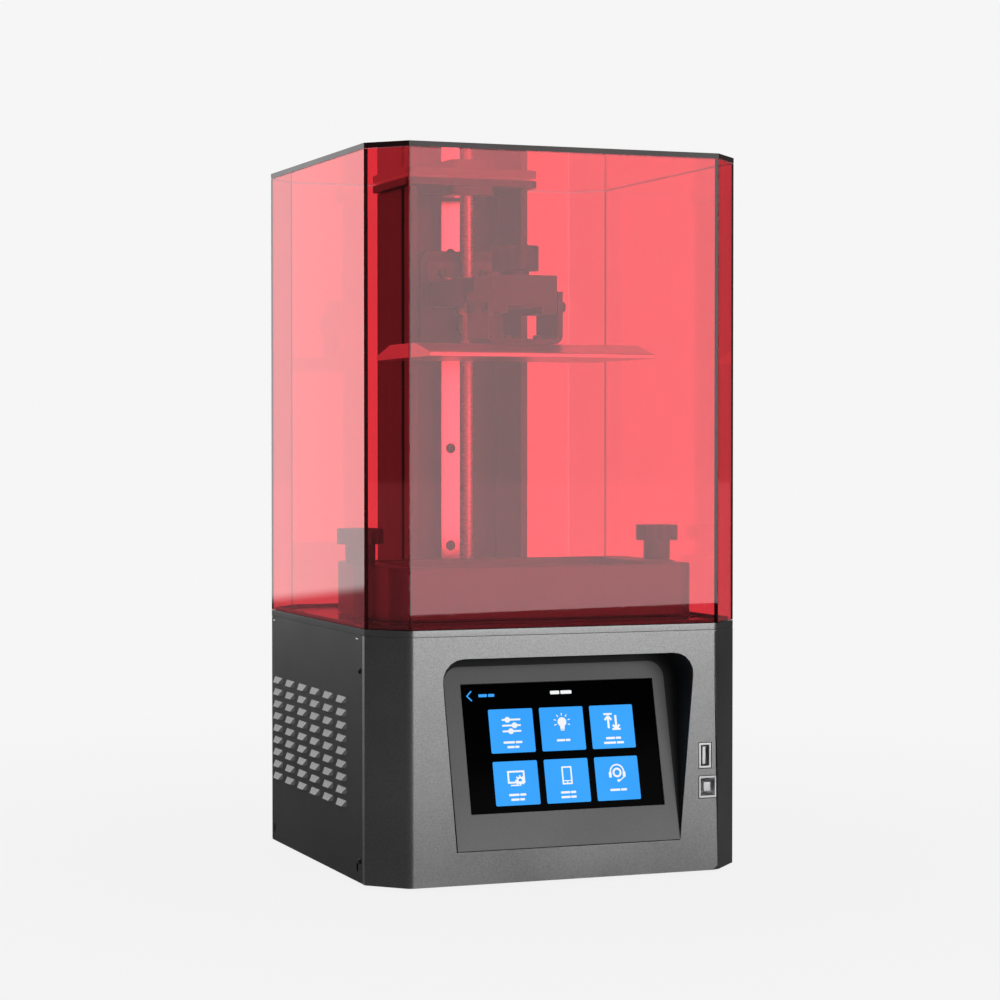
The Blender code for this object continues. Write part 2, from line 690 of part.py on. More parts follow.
def make_touch_display(material):
    mesh = leaning_box(
        "touch_display", DISPLAY_WIDTH, DISPLAY_BOTTOM, DISPLAY_HEIGHT, GAP, DISPLAY_THICKNESS
    )
    add_part("touch_display", mesh, material)


def make_socket(name, size, z, material):
    """A rectangular socket shell, open at the front."""
    front, back = -DEPTH / 2, -DEPTH / 2 + SOCKET_DEPTH
    shell = add_part(name, prism_mesh(name, [socket_outline(size, z)], front, back, "XZ"), material)
    hollow = socket_outline(size, z, -SOCKET_WALL)
    cut(shell, prism_mesh(f"{name}_mouth", [hollow], front - WALL, back - SOCKET_WALL, "XZ"))


def make_usb_board(material):
    x = SOCKET_LEFT_X - GAP
    y = -DEPTH / 2 + WALL + GAP
    low = (x - BOARD_THICKNESS, y, USB_B_Z - USB_B_SIZE[1])
    high = (x, y + 2 * SOCKET_DEPTH, USB_A_Z + USB_A_SIZE[1])
    add_part("usb_board", box_mesh("usb_board", low, high), material)


# Light engine


def make_masking_lcd(material):
    outline = rectangle(LCD_WIDTH, LCD_DEPTH, (0, PLATE_Y))
    mesh = prism_mesh("masking_lcd", [outline], DECK_Z - DECK_THICKNESS, LCD_TOP_Z)
    add_part("masking_lcd", mesh, material)


def make_light_hood(material):
    """A tapered reflector, open above and below, with its wall set inwards."""
    low = LED_BOARD_Z + BOARD_THICKNESS + GAP
    high = DECK_Z - DECK_THICKNESS - HOOD_WALL  # the sloping wall's inner edge stands higher
    x, y = LCD_WIDTH / 2 - HOOD_RIM, LCD_DEPTH / 2 - HOOD_RIM
    mesh = box_mesh("light_hood", (-x, -y, low), (x, y, high))
    shape = bmesh.new()
    shape.from_mesh(mesh)
    for vertex in shape.verts:
        if vertex.co.z < (low + high) / 2:
            vertex.co.x = math.copysign(LED_BOARD_SIZE / 2, vertex.co.x)
            vertex.co.y = math.copysign(LED_BOARD_SIZE / 2, vertex.co.y)
    ends = [face for face in shape.faces if abs(face.normal.z) > 0.9]
    bmesh.ops.delete(shape, geom=ends, context="FACES_ONLY")
    bmesh.ops.translate(shape, verts=shape.verts, vec=(0, PLATE_Y, 0))
    shape.to_mesh(mesh)
    shape.free()
    hood = add_part("light_hood", mesh, material)
    shell = hood.modifiers.new("wall", "SOLIDIFY")
    shell.thickness = HOOD_WALL
    shell.offset = -1
    shell.use_even_offset = True


def make_led_board(material):
    outline = rectangle(LED_BOARD_SIZE, LED_BOARD_SIZE, (0, PLATE_Y))
    mesh = prism_mesh("led_board", [outline], LED_BOARD_Z, LED_BOARD_Z + BOARD_THICKNESS)
    add_part("led_board", mesh, material)


def make_led_heatsink(material):
    top = LED_BOARD_Z - GAP
    root, tip = top - HEATSINK_BASE, top - HEATSINK_HEIGHT
    half = LED_BOARD_SIZE / 2
    pitch = (LED_BOARD_SIZE - HEATSINK_FIN) / (HEATSINK_FINS - 1)
    comb = [(half, top), (-half, top)]
    for fin in range(HEATSINK_FINS):
        x = -half + fin * pitch
        comb += [(x, root), (x, tip), (x + HEATSINK_FIN, tip), (x + HEATSINK_FIN, root)]
    comb = comb[:2] + comb[3:-1]
    y = (PLATE_Y - half, PLATE_Y + half)
    add_part("led_heatsink", prism_mesh("led_heatsink", [comb], *y, "XZ"), material)


def fan_blades(centre):
    """Outline of a fan rotor seen along its axis."""
    outline = []
    hub, tip = FAN_HUB_RADIUS, FAN_SIZE / 2 - FAN_RIM - TURNING_CLEARANCE
    sector = 2 * math.pi / FAN_BLADES
    for blade in range(FAN_BLADES):
        for share, reach in zip((0, *BLADE_SHAPE), (hub, hub, tip, tip, hub)):
            angle = (blade + share) * sector
            outline.append((centre[0] + reach * math.cos(angle), centre[1] + reach * math.sin(angle)))
    return outline


def make_fan(frame_name, rotor_name, centre, low, plane, finishes, body):
    """A square frame with a round opening, and the rotor inside it."""
    square = rectangle(FAN_SIZE, FAN_SIZE, centre, FAN_RIM, 3)
    outlines = [square, circle(FAN_SIZE / 2 - FAN_RIM, centre)]
    add_part(frame_name, prism_mesh(frame_name, outlines, low, low + FAN_DEPTH, plane), finishes[0])
    span = (low + TURNING_CLEARANCE, low + FAN_DEPTH - TURNING_CLEARANCE)
    add_part(rotor_name, prism_mesh(rotor_name, [fan_blades(centre)], *span, plane), finishes[1], body)


# Electronics, power inlet and switch


def make_main_board(material):
    low = (MAIN_BOARD_X, MAIN_BOARD_Y[0], MAIN_BOARD_Z[0])
    high = (MAIN_BOARD_X + BOARD_THICKNESS, MAIN_BOARD_Y[1], MAIN_BOARD_Z[1])
    board = add_part("main_board", box_mesh("main_board", low, high), material)
    inside = MAIN_BOARD_X + BOARD_THICKNESS / 2
    for name, reach, (along, up), (length, height) in BOARD_PARTS:
        y = MAIN_BOARD_Y[0] + along * (MAIN_BOARD_Y[1] - MAIN_BOARD_Y[0])
        z = MAIN_BOARD_Z[0] + up * (MAIN_BOARD_Z[1] - MAIN_BOARD_Z[0])
        corner = (inside - reach, y - length / 2, z - height / 2)
        join(board, box_mesh(name, corner, (inside, y + length / 2, z + height / 2)))


def make_dc_inlet(material):
    back = DEPTH / 2
    face, tail = (INLET_X, back, INLET_Z), (INLET_X, back - INLET_DEPTH, INLET_Z)
    inlet = add_part("dc_inlet", rod_mesh("dc_inlet", INLET_RADIUS, face, tail), material)
    mouth = (INLET_X, back + WALL, INLET_Z)
    bottom = (INLET_X, back - INLET_DEPTH + SOCKET_WALL, INLET_Z)
    cut(inlet, rod_mesh("inlet_bore", INLET_BORE, mouth, bottom, SMALL_ROUND))


def make_switch(finishes, body):
    width, height = SWITCH_SIZE
    back, front = DEPTH / 2, DEPTH / 2 - SWITCH_DEPTH
    frame = rectangle(width, height, (SWITCH_X, SWITCH_Z))
    mesh = prism_mesh("switch_housing", [frame], front, back, "XZ")
    housing = add_part("switch_housing", mesh, finishes[0])
    pocket = rectangle(width - 2 * SWITCH_WALL, height - 2 * SWITCH_WALL, (SWITCH_X, SWITCH_Z))
    cut(housing, prism_mesh("switch_pocket", [pocket], front + SWITCH_WALL, back + WALL, "XZ"))
    half = height / 2 - SWITCH_WALL - TURNING_CLEARANCE
    rise = half * math.tan(ROCKER_ANGLE)
    depth = ROCKER_THICKNESS
    profile = [(-half, -depth), (half, -depth), (half, 0), (0, -rise * ROCKER_DISH), (-half, 0)]
    # the rest position is pressed in at the top, so the profile is turned by half the throw
    turn = Matrix.Rotation(ROCKER_ANGLE, 2)
    points = [turn @ Vector((along, out)) for along, out in profile]
    pivot_y = DEPTH / 2 - ROCKER_SETBACK
    outline = [(pivot_y + point.y, SWITCH_Z + point.x) for point in points]
    reach = width / 2 - SWITCH_WALL - GAP
    mesh = prism_mesh("switch_rocker", [outline], SWITCH_X - reach, SWITCH_X + reach, "YZ")
    add_part("switch_rocker", mesh, finishes[1], body)


# Z axis


def make_z_column(material):
    half = COLUMN_WIDTH / 2
    inside = half - COLUMN_WALL
    web_back = WEB_FRONT_Y + WEB_THICKNESS
    groove_back = GROOVE_FRONT_Y + GROOVE_WIDTH
    side = [
        (inside, WEB_FRONT_Y),
        (inside, COLUMN_FRONT_Y),
        (half, COLUMN_FRONT_Y),
        (half, GROOVE_FRONT_Y),
        (half - GROOVE_DEPTH, GROOVE_FRONT_Y),
        (half - GROOVE_DEPTH, groove_back),
        (half, groove_back),
        (half, COLUMN_BACK_Y),
        (inside, COLUMN_BACK_Y),
        (inside, web_back),
    ]
    section = side + [(-x, y) for x, y in reversed(side)]
    mesh = prism_mesh("z_column", [section], DECK_Z + GAP, COLUMN_TOP_Z)
    add_part("z_column", mesh, material)


def make_column_cap(material):
    low = COLUMN_TOP_Z + GAP
    width = COLUMN_WIDTH + 2 * CAP_OVERHANG
    back = COLUMN_BACK_Y + GAP
    centre = (0, (CAP_FRONT_Y + back) / 2)
    plan = rectangle(width, back - CAP_FRONT_Y, centre, CAP_OVERHANG, 3)
    cap = add_part("column_cap", prism_mesh("column_cap", [plan], low, low + CAP_THICKNESS), material)
    boss = rectangle(BOSS_WIDTH, BOSS_DEPTH, (0, SCREW_Y), CAP_OVERHANG, 3)
    join(cap, prism_mesh("bearing_boss", [boss], low - BOSS_HEIGHT, low + CAP_THICKNESS / 2))
    pocket_top = BEARING_TOP_Z + 3 * GAP
    start, end = (0, SCREW_Y, low - 2 * BOSS_HEIGHT), (0, SCREW_Y, pocket_top)
    cut(cap, rod_mesh("bearing_pocket", BEARING_RADIUS + GAP, start, end))


def ring(name, radius, bore, low, high, centre, material, body=None):
    outlines = [circle(radius, centre), circle(bore, centre, ROUND)]
    part = add_part(name, prism_mesh(name, outlines, low, high), material, body)
    smooth(part)


def make_linear_rail(material):
    outline = rectangle(RAIL_WIDTH, RAIL_HEIGHT, (0, RAIL_FACE_Y + RAIL_HEIGHT / 2))
    mesh = prism_mesh("linear_rail", [outline], RAIL_BOTTOM_Z, RAIL_TOP_Z)
    rail = add_part("linear_rail", mesh, material)
    for i in range(RAIL_HOLES):
        z = RAIL_BOTTOM_Z + RAIL_FIRST_HOLE + i * RAIL_HOLE_PITCH
        start, end = (0, RAIL_FACE_Y - WALL, z), (0, WEB_FRONT_Y + WALL, z)
        cut(rail, rod_mesh(f"rail_hole_{i + 1}", RAIL_HOLE_RADIUS, start, end, SMALL_ROUND))


def make_z_motor(material):
    top = DECK_Z - DECK_THICKNESS - GAP
    plan = rectangle(MOTOR_SIZE, MOTOR_SIZE, (0, SCREW_Y), MOTOR_CORNER, 1)
    motor = add_part("z_motor", prism_mesh("z_motor", [plan], top - MOTOR_HEIGHT, top), material)
    start, end = (0, SCREW_Y, top + WALL), (0, SCREW_Y, top - MOTOR_GRIP - WALL)
    cut(motor, rod_mesh("motor_bore", SCREW_RADIUS + SCREW_CLEARANCE, start, end))


def make_lead_screw(material, body):
    low = DECK_Z - DECK_THICKNESS - GAP - MOTOR_GRIP
    mesh = rod_mesh("lead_screw", SCREW_RADIUS, (0, SCREW_Y, low), (0, SCREW_Y, SCREW_TOP_Z), 20)
    smooth(add_part("lead_screw", mesh, material, body))


def make_limit_switch(material):
    back = WEB_FRONT_Y - GAP
    width, depth, height = LIMIT_SWITCH_SIZE
    low = (-COLUMN_WIDTH / 2 + COLUMN_WALL + GAP, back - depth, DECK_Z + LIMIT_SWITCH_LIFT)
    high = (low[0] + width, back, low[2] + height)
    add_part("limit_switch", box_mesh("limit_switch", low, high), material)


# Carriage


def make_rail_block(material, body):
    half, slot = RAIL_BLOCK_WIDTH / 2, RAIL_WIDTH / 2 + GAP
    front, back = SLIDER_FRONT_Y, SLIDER_FRONT_Y + RAIL_BLOCK_HEIGHT
    inside = RAIL_FACE_Y - GAP
    section = [
        (-half, front),
        (half, front),
        (half, back),
        (slot, back),
        (slot, inside),
        (-slot, inside),
        (-slot, back),
        (-half, back),
    ]
    middle = CARRIAGE_Z + CARRIAGE_HEIGHT / 2
    span = (middle - RAIL_BLOCK_LENGTH / 2, middle + RAIL_BLOCK_LENGTH / 2)
    add_part("rail_block", prism_mesh("rail_block", [section], *span), material, body)


def make_carriage_plate(material, body):
    half = CARRIAGE_WIDTH / 2
    top = CARRIAGE_Z + CARRIAGE_HEIGHT
    corners = [(-half, CARRIAGE_Z), (half, CARRIAGE_Z), (half, top), (-half, top)]
    outline = rounded_outline(corners, [0, 0, CARRIAGE_RADIUS, CARRIAGE_RADIUS])
    span = (CARRIAGE_FRONT_Y, SLIDER_FRONT_Y - GAP)
    mesh = prism_mesh("carriage_plate", [outline], *span, "XZ")
    add_part("carriage_plate", mesh, material, body)


def make_platform_arm(material, body):
    """The arm on the carriage; its tongue holds the removable platform."""
    back = CARRIAGE_FRONT_Y - GAP
    half, tongue = ARM_WIDTH / 2, TONGUE_WIDTH / 2
    tip = ARM_FRONT_Y - TONGUE_LENGTH
    mesh = box_mesh("platform_arm", (-half, ARM_FRONT_Y, ARM_Z), (half, back, ARM_Z + ARM_HEIGHT))
    arm = add_part("platform_arm", mesh, material, body)
    root = (tongue, ARM_FRONT_Y + WALL, TONGUE_TOP_Z)
    join(arm, box_mesh("tongue", (-tongue, tip, ARM_Z + GAP), root))
    start, end = (0, SCREW_Y, ARM_Z - WALL), (0, SCREW_Y, ARM_Z + ARM_HEIGHT + WALL)
    cut(arm, rod_mesh("arm_bore", SCREW_RADIUS + SCREW_CLEARANCE, start, end))


def make_screw_nut(material, body):
    """A flanged nut under the arm, turned round the lead screw."""
    bore = SCREW_RADIUS + GAP
    flange_z = NUT_TOP_Z - NUT_FLANGE_THICKNESS
    bottom = NUT_TOP_Z - NUT_LENGTH
    centre = (0, SCREW_Y)
    flange = [circle(NUT_FLANGE_RADIUS, centre), circle(bore, centre, ROUND)]
    nut = add_part("screw_nut", prism_mesh("screw_nut", flange, flange_z, NUT_TOP_Z), material, body)
    collar = [circle(NUT_RADIUS, centre), circle(bore, centre, ROUND)]
    join(nut, prism_mesh("nut_collar", collar, bottom, flange_z + NUT_FLANGE_THICKNESS / 2))


# Removable platform


def make_platform_block(material, body):
    half = BRACKET_WIDTH / 2 - BRACKET_WALL - GAP
    back = PLATE_Y + BLOCK_DEPTH / 2
    front = back - BLOCK_DEPTH
    block = add_part(
        "platform_block",
        box_mesh("platform_block", (-half, front, BLOCK_Z), (half, back, BLOCK_TOP_Z)),
        material,
        body,
    )
    slot = TONGUE_WIDTH / 2 + GAP
    tip = ARM_FRONT_Y - TONGUE_LENGTH - GAP
    cut(block, box_mesh("tongue_slot", (-slot, tip, ARM_Z), (slot, back + WALL, TONGUE_TOP_Z + GAP)))
    low, high = (-slot, front - WALL, BLOCK_Z - WALL), (slot, back + WALL, BLOCK_Z + BLOCK_CHANNEL)
    cut(block, box_mesh("block_channel", low, high))
    start, end = (0, PLATE_Y, TONGUE_TOP_Z), (0, PLATE_Y, BLOCK_TOP_Z + WALL)
    cut(block, rod_mesh("clamp_hole", CLAMP_STEM_RADIUS + SCREW_CLEARANCE, start, end, SMALL_ROUND))
    for side in (-1, 1):
        for y in level_screw_places():
            start = (side * (half + WALL), y, LEVEL_Z)
            end = (side * (half - LEVEL_SCREW_GRIP - GAP), y, LEVEL_Z)
            hole = rod_mesh("level_hole", LEVEL_SCREW_RADIUS + GAP, start, end, SMALL_ROUND)
            cut(block, hole)


def level_screw_places():
    return (PLATE_Y - LEVEL_SCREW_PITCH / 2, PLATE_Y + LEVEL_SCREW_PITCH / 2)


def make_platform_bracket(material, body):
    half, inside = BRACKET_WIDTH / 2, BRACKET_WIDTH / 2 - BRACKET_WALL
    top, floor = BRACKET_Z + BRACKET_HEIGHT, BRACKET_Z + BRACKET_WALL
    outer = [(-half, top), (-half, BRACKET_Z), (half, BRACKET_Z), (half, top)]
    inner = [(inside, top), (inside, floor), (-inside, floor), (-inside, top)]
    bend = BRACKET_RADIUS - BRACKET_WALL
    radii = [0, BRACKET_RADIUS, BRACKET_RADIUS, 0, 0, bend, bend, 0]
    section = rounded_outline(outer + inner, radii, 4)
    span = (PLATE_Y - BRACKET_DEPTH / 2, PLATE_Y + BRACKET_DEPTH / 2)
    mesh = prism_mesh("platform_bracket", [section], *span, "XZ")
    bracket = add_part("platform_bracket", mesh, material, body)
    for y in level_screw_places():
        start, end = (-half - WALL, y, LEVEL_Z), (half + WALL, y, LEVEL_Z)
        hole = rod_mesh("bracket_hole", LEVEL_SCREW_RADIUS + SCREW_CLEARANCE, start, end, SMALL_ROUND)
        cut(bracket, hole)


def make_build_plate(material, body):
    half, top_half = BUILD_DEPTH / 2, BUILD_TOP_DEPTH / 2
    top = PLATE_Z + BUILD_THICKNESS
    section = [
        (PLATE_Y - half, PLATE_Z),
        (PLATE_Y + half, PLATE_Z),
        (PLATE_Y + half, PLATE_Z + BUILD_EDGE),
        (PLATE_Y + top_half, top),
        (PLATE_Y - top_half, top),
        (PLATE_Y - half, PLATE_Z + BUILD_EDGE),
    ]
    mesh = prism_mesh("build_plate", [section], -BUILD_WIDTH / 2, BUILD_WIDTH / 2, "YZ")
    add_part("build_plate", mesh, material, body)


def make_levelling_screws(material, body):
    outside = BRACKET_WIDTH / 2 + GAP
    inside = BRACKET_WIDTH / 2 - BRACKET_WALL - LEVEL_SCREW_GRIP
    places = [(side, y) for side in (-1, 1) for y in level_screw_places()]
    for number, (side, y) in enumerate(places, 1):
        name = f"levelling_screw_{number}"
        x_tip, x_seat, x_face = (side * x for x in (inside, outside, outside + LEVEL_HEAD_HEIGHT))
        shank = ((x_seat + x_face) / 2, y, LEVEL_Z), (x_tip, y, LEVEL_Z)
        screw = add_part(name, rod_mesh(name, LEVEL_SCREW_RADIUS, *shank, 12), material, body)
        head = (x_seat, y, LEVEL_Z), (x_face, y, LEVEL_Z)
        join(screw, rod_mesh(f"{name}_head", LEVEL_HEAD_RADIUS, *head, SMALL_ROUND))


def make_clamp_knob(material, body):
    head_z = CLAMP_Z + CLAMP_NECK_HEIGHT
    centre = (0, PLATE_Y)
    head = lobed(CLAMP_RADIUS, KNOB_LOBE_DEPTH, KNOB_LOBES, centre)
    mesh = prism_mesh("clamp_knob", [head], head_z, head_z + CLAMP_HEIGHT)
    knob = add_part("clamp_knob", mesh, material, body)
    join(knob, rod_mesh("clamp_neck", CLAMP_NECK_RADIUS, (*centre, CLAMP_Z), (*centre, head_z + WALL)))
    stem_z = TONGUE_TOP_Z + GAP
    join(knob, rod_mesh("clamp_stem", CLAMP_STEM_RADIUS, (*centre, stem_z), (*centre, CLAMP_Z + WALL), 12))


# Vat


def vat_plan():
    """Outer plan of the vat: a rounded rectangle with a lug on each side for its knob."""
    x, y = VAT_WIDTH / 2, VAT_DEPTH / 2
    ear_x = x + EAR_REACH
    front, back = VAT_KNOB_BEHIND - EAR_DEPTH / 2, VAT_KNOB_BEHIND + EAR_DEPTH / 2
    lug = [(x, front), (ear_x, front + EAR_REACH), (ear_x, back - EAR_REACH), (x, back)]
    right = [(x, -y), *lug, (x, y)]
    left = [(-a, b) for a, b in reversed(right)]
    radii = [VAT_RADIUS, 0, 0, 0, 0, VAT_RADIUS]
    return [(a, b + VAT_Y) for a, b in rounded_outline(right + left, radii + radii)]


def knob_holes():
    radius = VAT_SCREW_RADIUS + SCREW_CLEARANCE
    return [circle(radius, (x, VAT_KNOB_Y), SMALL_ROUND) for x in (-VAT_KNOB_X, VAT_KNOB_X)]


def make_vat(finishes, body):
    cavity = rectangle(CAVITY_WIDTH, CAVITY_DEPTH, (0, VAT_Y), CAVITY_RADIUS)
    outlines = [vat_plan(), cavity, *knob_holes()]
    add_part("vat_body", prism_mesh("vat_body", outlines, VAT_Z, VAT_TOP_Z), finishes[0], body)
    film_size = CAVITY_WIDTH + 2 * FILM_MARGIN, CAVITY_DEPTH + 2 * FILM_MARGIN
    film = rectangle(*film_size, (0, VAT_Y), CAVITY_RADIUS, 3)
    mesh = prism_mesh("release_film", [film], FILM_Z, FILM_Z + FILM_THICKNESS)
    add_part("release_film", mesh, finishes[1], body)
    ring_size = CAVITY_WIDTH + 2 * RING_MARGIN, CAVITY_DEPTH + 2 * RING_MARGIN
    opening = rectangle(*ring_size, (0, VAT_Y), CAVITY_RADIUS, 3)
    outlines = [vat_plan(), opening, *knob_holes()]
    mesh = prism_mesh("film_ring", outlines, DECK_Z + GAP, RING_TOP_Z)
    add_part("film_ring", mesh, finishes[2], body)


def make_vat_knob(name, x, material, body):
    centre = (x, VAT_KNOB_Y)
    head = lobed(VAT_KNOB_RADIUS, KNOB_LOBE_DEPTH, KNOB_LOBES, centre)
    span = (VAT_KNOB_Z, VAT_KNOB_Z + VAT_KNOB_HEAD)
    knob = add_part(name, prism_mesh(name, [head], *span), material, body)
    stem = ((*centre, VAT_TOP_Z + GAP), (*centre, VAT_KNOB_Z + WALL))
    join(knob, rod_mesh(f"{name}_stem", VAT_KNOB_STEM_RADIUS, *stem))
    low = DECK_Z - DECK_THICKNESS - VAT_SCREW_BELOW_DECK
    thread = ((*centre, low), (*centre, VAT_TOP_Z + WALL))
    join(knob, rod_mesh(f"{name}_screw", VAT_SCREW_RADIUS, *thread, 12))


# Cover

PANE_NAMES = (
    "cover_front_left",
    "cover_front",
    "cover_front_right",
    "cover_right",
    "cover_rear_right",
    "cover_rear",
    "cover_rear_left",
    "cover_left",
)


def make_cover(material, body):
    """Eight mitred panes and a lid, with room for glue in each joint."""
    outer, inner = octagon(), octagon(PANE)
    span = (DECK_Z + GAP, HEIGHT - PANE - GAP)
    for i, name in enumerate(PANE_NAMES):
        following = (i + 1) % len(outer)
        trim = (Vector(outer[following]) - Vector(outer[i])).normalized() * GAP / 2
        corners = [
            Vector(outer[i]) + trim,
            Vector(outer[following]) - trim,
            Vector(inner[following]) - trim,
            Vector(inner[i]) + trim,
        ]
        add_part(name, prism_mesh(name, [[tuple(corner) for corner in corners]], *span), material, body)
    add_part("cover_top", prism_mesh("cover_top", [outer], HEIGHT - PANE, HEIGHT), material, body)


clear_scene()
PARTS = add_collection("resin_printer")
CUTTERS = add_collection("cutters")

front_grey = finish("front_grey", (0.33, 0.33, 0.34), 0.45, 0.35)
side_grey = finish("side_grey", (0.12, 0.12, 0.125), 0.5, 0.3)
deck_black = finish("deck_black", (0.03, 0.03, 0.032), 0.4)
bezel_grey = finish("bezel_grey", (0.13, 0.13, 0.13), 0.5)
display_glass = finish("display_glass", (0.01, 0.01, 0.012), 0.08)
red_acrylic = finish("red_acrylic", (0.75, 0.02, 0.04), 0.03, alpha=0.45)
anodised_black = finish("anodised_black", (0.035, 0.035, 0.038), 0.4, 0.4)
anodised_grey = finish("anodised_grey", (0.16, 0.16, 0.17), 0.4, 0.7)
bright_steel = finish("bright_steel", (0.62, 0.62, 0.62), 0.25, 1.0)
brushed_alloy = finish("brushed_alloy", (0.7, 0.7, 0.71), 0.35, 1.0)
brass = finish("brass", (0.78, 0.58, 0.22), 0.3, 1.0)
knob_black = finish("knob_black", (0.02, 0.02, 0.02), 0.45)
rubber = finish("rubber", (0.02, 0.02, 0.02), 0.8)
board_green = finish("board_green", (0.02, 0.16, 0.07), 0.5)
reflector_white = finish("reflector_white", (0.8, 0.8, 0.8), 0.5)
clear_film = finish("clear_film", (0.9, 0.9, 0.9), 0.1, alpha=0.3)

cover_body = add_body("cover_motion", (0, 0, DECK_Z))
screw_body = add_body("lead_screw_motion", (0, SCREW_Y, DECK_Z))
carriage_body = add_body("carriage_motion", (0, SCREW_Y, CARRIAGE_Z))
platform_body = add_body("platform_motion", (0, PLATE_Y, BLOCK_Z))
levelling_body = add_body("levelling_motion", (0, PLATE_Y, LEVEL_Z))
clamp_body = add_body("clamp_motion", (0, PLATE_Y, CLAMP_Z))
vat_lift_body = add_body("vat_motion", (0, VAT_Y, VAT_Z))
left_knob_body = add_body("vat_knob_left_motion", (-VAT_KNOB_X, VAT_KNOB_Y, VAT_TOP_Z))
right_knob_body = add_body("vat_knob_right_motion", (VAT_KNOB_X, VAT_KNOB_Y, VAT_TOP_Z))
led_fan_body = add_body("led_fan_motion", (0, PLATE_Y, FLOOR_TOP_Z))
exhaust_fan_body = add_body("exhaust_fan_motion", (EXHAUST_X, DEPTH / 2, EXHAUST_Z))
rocker_body = add_body("rocker_motion", (SWITCH_X, DEPTH / 2 - ROCKER_SETBACK, SWITCH_Z))

make_bottom_plate(side_grey)
make_feet(rubber)
make_front_housing(front_grey)
make_side_panel("side_panel_left", -1, side_grey)
make_side_panel("side_panel_right", 1, side_grey)
make_rear_panel(side_grey)
make_top_deck(deck_black)

make_screen_bezel(bezel_grey)
make_touch_display(display_glass)
make_socket("usb_a_socket", USB_A_SIZE, USB_A_Z, bright_steel)
make_socket("usb_b_socket", USB_B_SIZE, USB_B_Z, bright_steel)
make_usb_board(board_green)

make_masking_lcd(display_glass)
make_light_hood(reflector_white)
make_led_board(board_green)
make_led_heatsink(brushed_alloy)
led_fan_top = LED_BOARD_Z - GAP - HEATSINK_HEIGHT - GAP
make_fan(
    "led_fan_frame",
    "led_fan_rotor",
    (0, PLATE_Y),
    led_fan_top - FAN_DEPTH,
    "XY",
    (anodised_black, knob_black),
    led_fan_body,
)
make_fan(
    "exhaust_fan_frame",
    "exhaust_fan_rotor",
    (EXHAUST_X, EXHAUST_Z),
    DEPTH / 2 - WALL - GAP - FAN_DEPTH,
    "XZ",
    (anodised_black, knob_black),
    exhaust_fan_body,
)
make_main_board(board_green)
make_dc_inlet(anodised_black)
make_switch((anodised_black, knob_black), rocker_body)

make_z_column(anodised_grey)
make_column_cap(anodised_black)
make_linear_rail(bright_steel)
make_z_motor(anodised_black)
make_lead_screw(bright_steel, screw_body)
ring(
    "screw_bearing",
    BEARING_RADIUS,
    SCREW_RADIUS + GAP,
    BEARING_TOP_Z - BEARING_HEIGHT,
    BEARING_TOP_Z,
    (0, SCREW_Y),
    bright_steel,
)
make_limit_switch(deck_black)

make_rail_block(bright_steel, carriage_body)
make_carriage_plate(anodised_black, carriage_body)
make_platform_arm(anodised_black, carriage_body)
make_screw_nut(brass, carriage_body)

make_platform_block(anodised_black, platform_body)
make_levelling_screws(bright_steel, platform_body)
make_platform_bracket(anodised_black, levelling_body)
make_build_plate(brushed_alloy, levelling_body)
make_clamp_knob(knob_black, clamp_body)

make_vat((anodised_grey, clear_film, anodised_black), vat_lift_body)
make_vat_knob("vat_knob_left", -VAT_KNOB_X, knob_black, left_knob_body)
make_vat_knob("vat_knob_right", VAT_KNOB_X, knob_black, right_knob_body)

make_cover(red_acrylic, cover_body)
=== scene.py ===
# %% [markdown]
# # A desktop resin printer under a red acrylic cover
#
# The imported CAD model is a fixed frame: every piece made here goes where the CAD says, and
# rides on the CAD body that it belongs to. First come the frame, the camera and the light,
# then the finishes, and then the pieces from the floor up.

# %% Load the frame
import json
import math

import bmesh
import bpy
from mathutils import Matrix, Vector


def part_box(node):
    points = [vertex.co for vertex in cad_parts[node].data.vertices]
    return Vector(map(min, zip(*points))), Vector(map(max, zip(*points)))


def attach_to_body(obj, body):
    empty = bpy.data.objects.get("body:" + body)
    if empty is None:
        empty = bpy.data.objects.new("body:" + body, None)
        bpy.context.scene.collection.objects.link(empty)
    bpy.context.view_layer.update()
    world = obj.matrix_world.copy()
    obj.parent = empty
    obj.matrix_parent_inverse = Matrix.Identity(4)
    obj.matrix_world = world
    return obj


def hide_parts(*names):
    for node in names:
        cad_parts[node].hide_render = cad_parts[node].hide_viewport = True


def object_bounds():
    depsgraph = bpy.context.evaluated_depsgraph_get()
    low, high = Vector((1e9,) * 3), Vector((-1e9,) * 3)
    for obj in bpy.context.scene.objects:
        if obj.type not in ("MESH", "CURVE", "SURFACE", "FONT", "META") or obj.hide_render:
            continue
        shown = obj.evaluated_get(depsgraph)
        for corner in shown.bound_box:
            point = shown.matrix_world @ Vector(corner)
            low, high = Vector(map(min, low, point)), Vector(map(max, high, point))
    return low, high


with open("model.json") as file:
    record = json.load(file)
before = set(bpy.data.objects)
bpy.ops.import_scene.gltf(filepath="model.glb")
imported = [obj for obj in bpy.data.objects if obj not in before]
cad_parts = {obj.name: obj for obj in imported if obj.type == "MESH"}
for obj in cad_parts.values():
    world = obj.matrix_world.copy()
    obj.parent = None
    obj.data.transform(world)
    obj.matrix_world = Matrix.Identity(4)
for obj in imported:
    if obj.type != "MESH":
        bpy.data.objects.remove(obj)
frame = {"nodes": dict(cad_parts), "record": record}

cad_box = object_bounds()
MM = 0.001
nodes = frame["nodes"]
print("CAD box", [[round(value, 4) for value in corner] for corner in cad_box])

# %% [markdown]
# ## Camera
#
# A long lens from the front left, a little above the middle of the machine. The camera
# looks down by just over one degree, so upright edges stay upright.

# %% Camera
def new_object(name, data):
    """An object with this data, in the scene."""
    made = bpy.data.objects.new(name, data)
    bpy.context.scene.collection.objects.link(made)
    return made


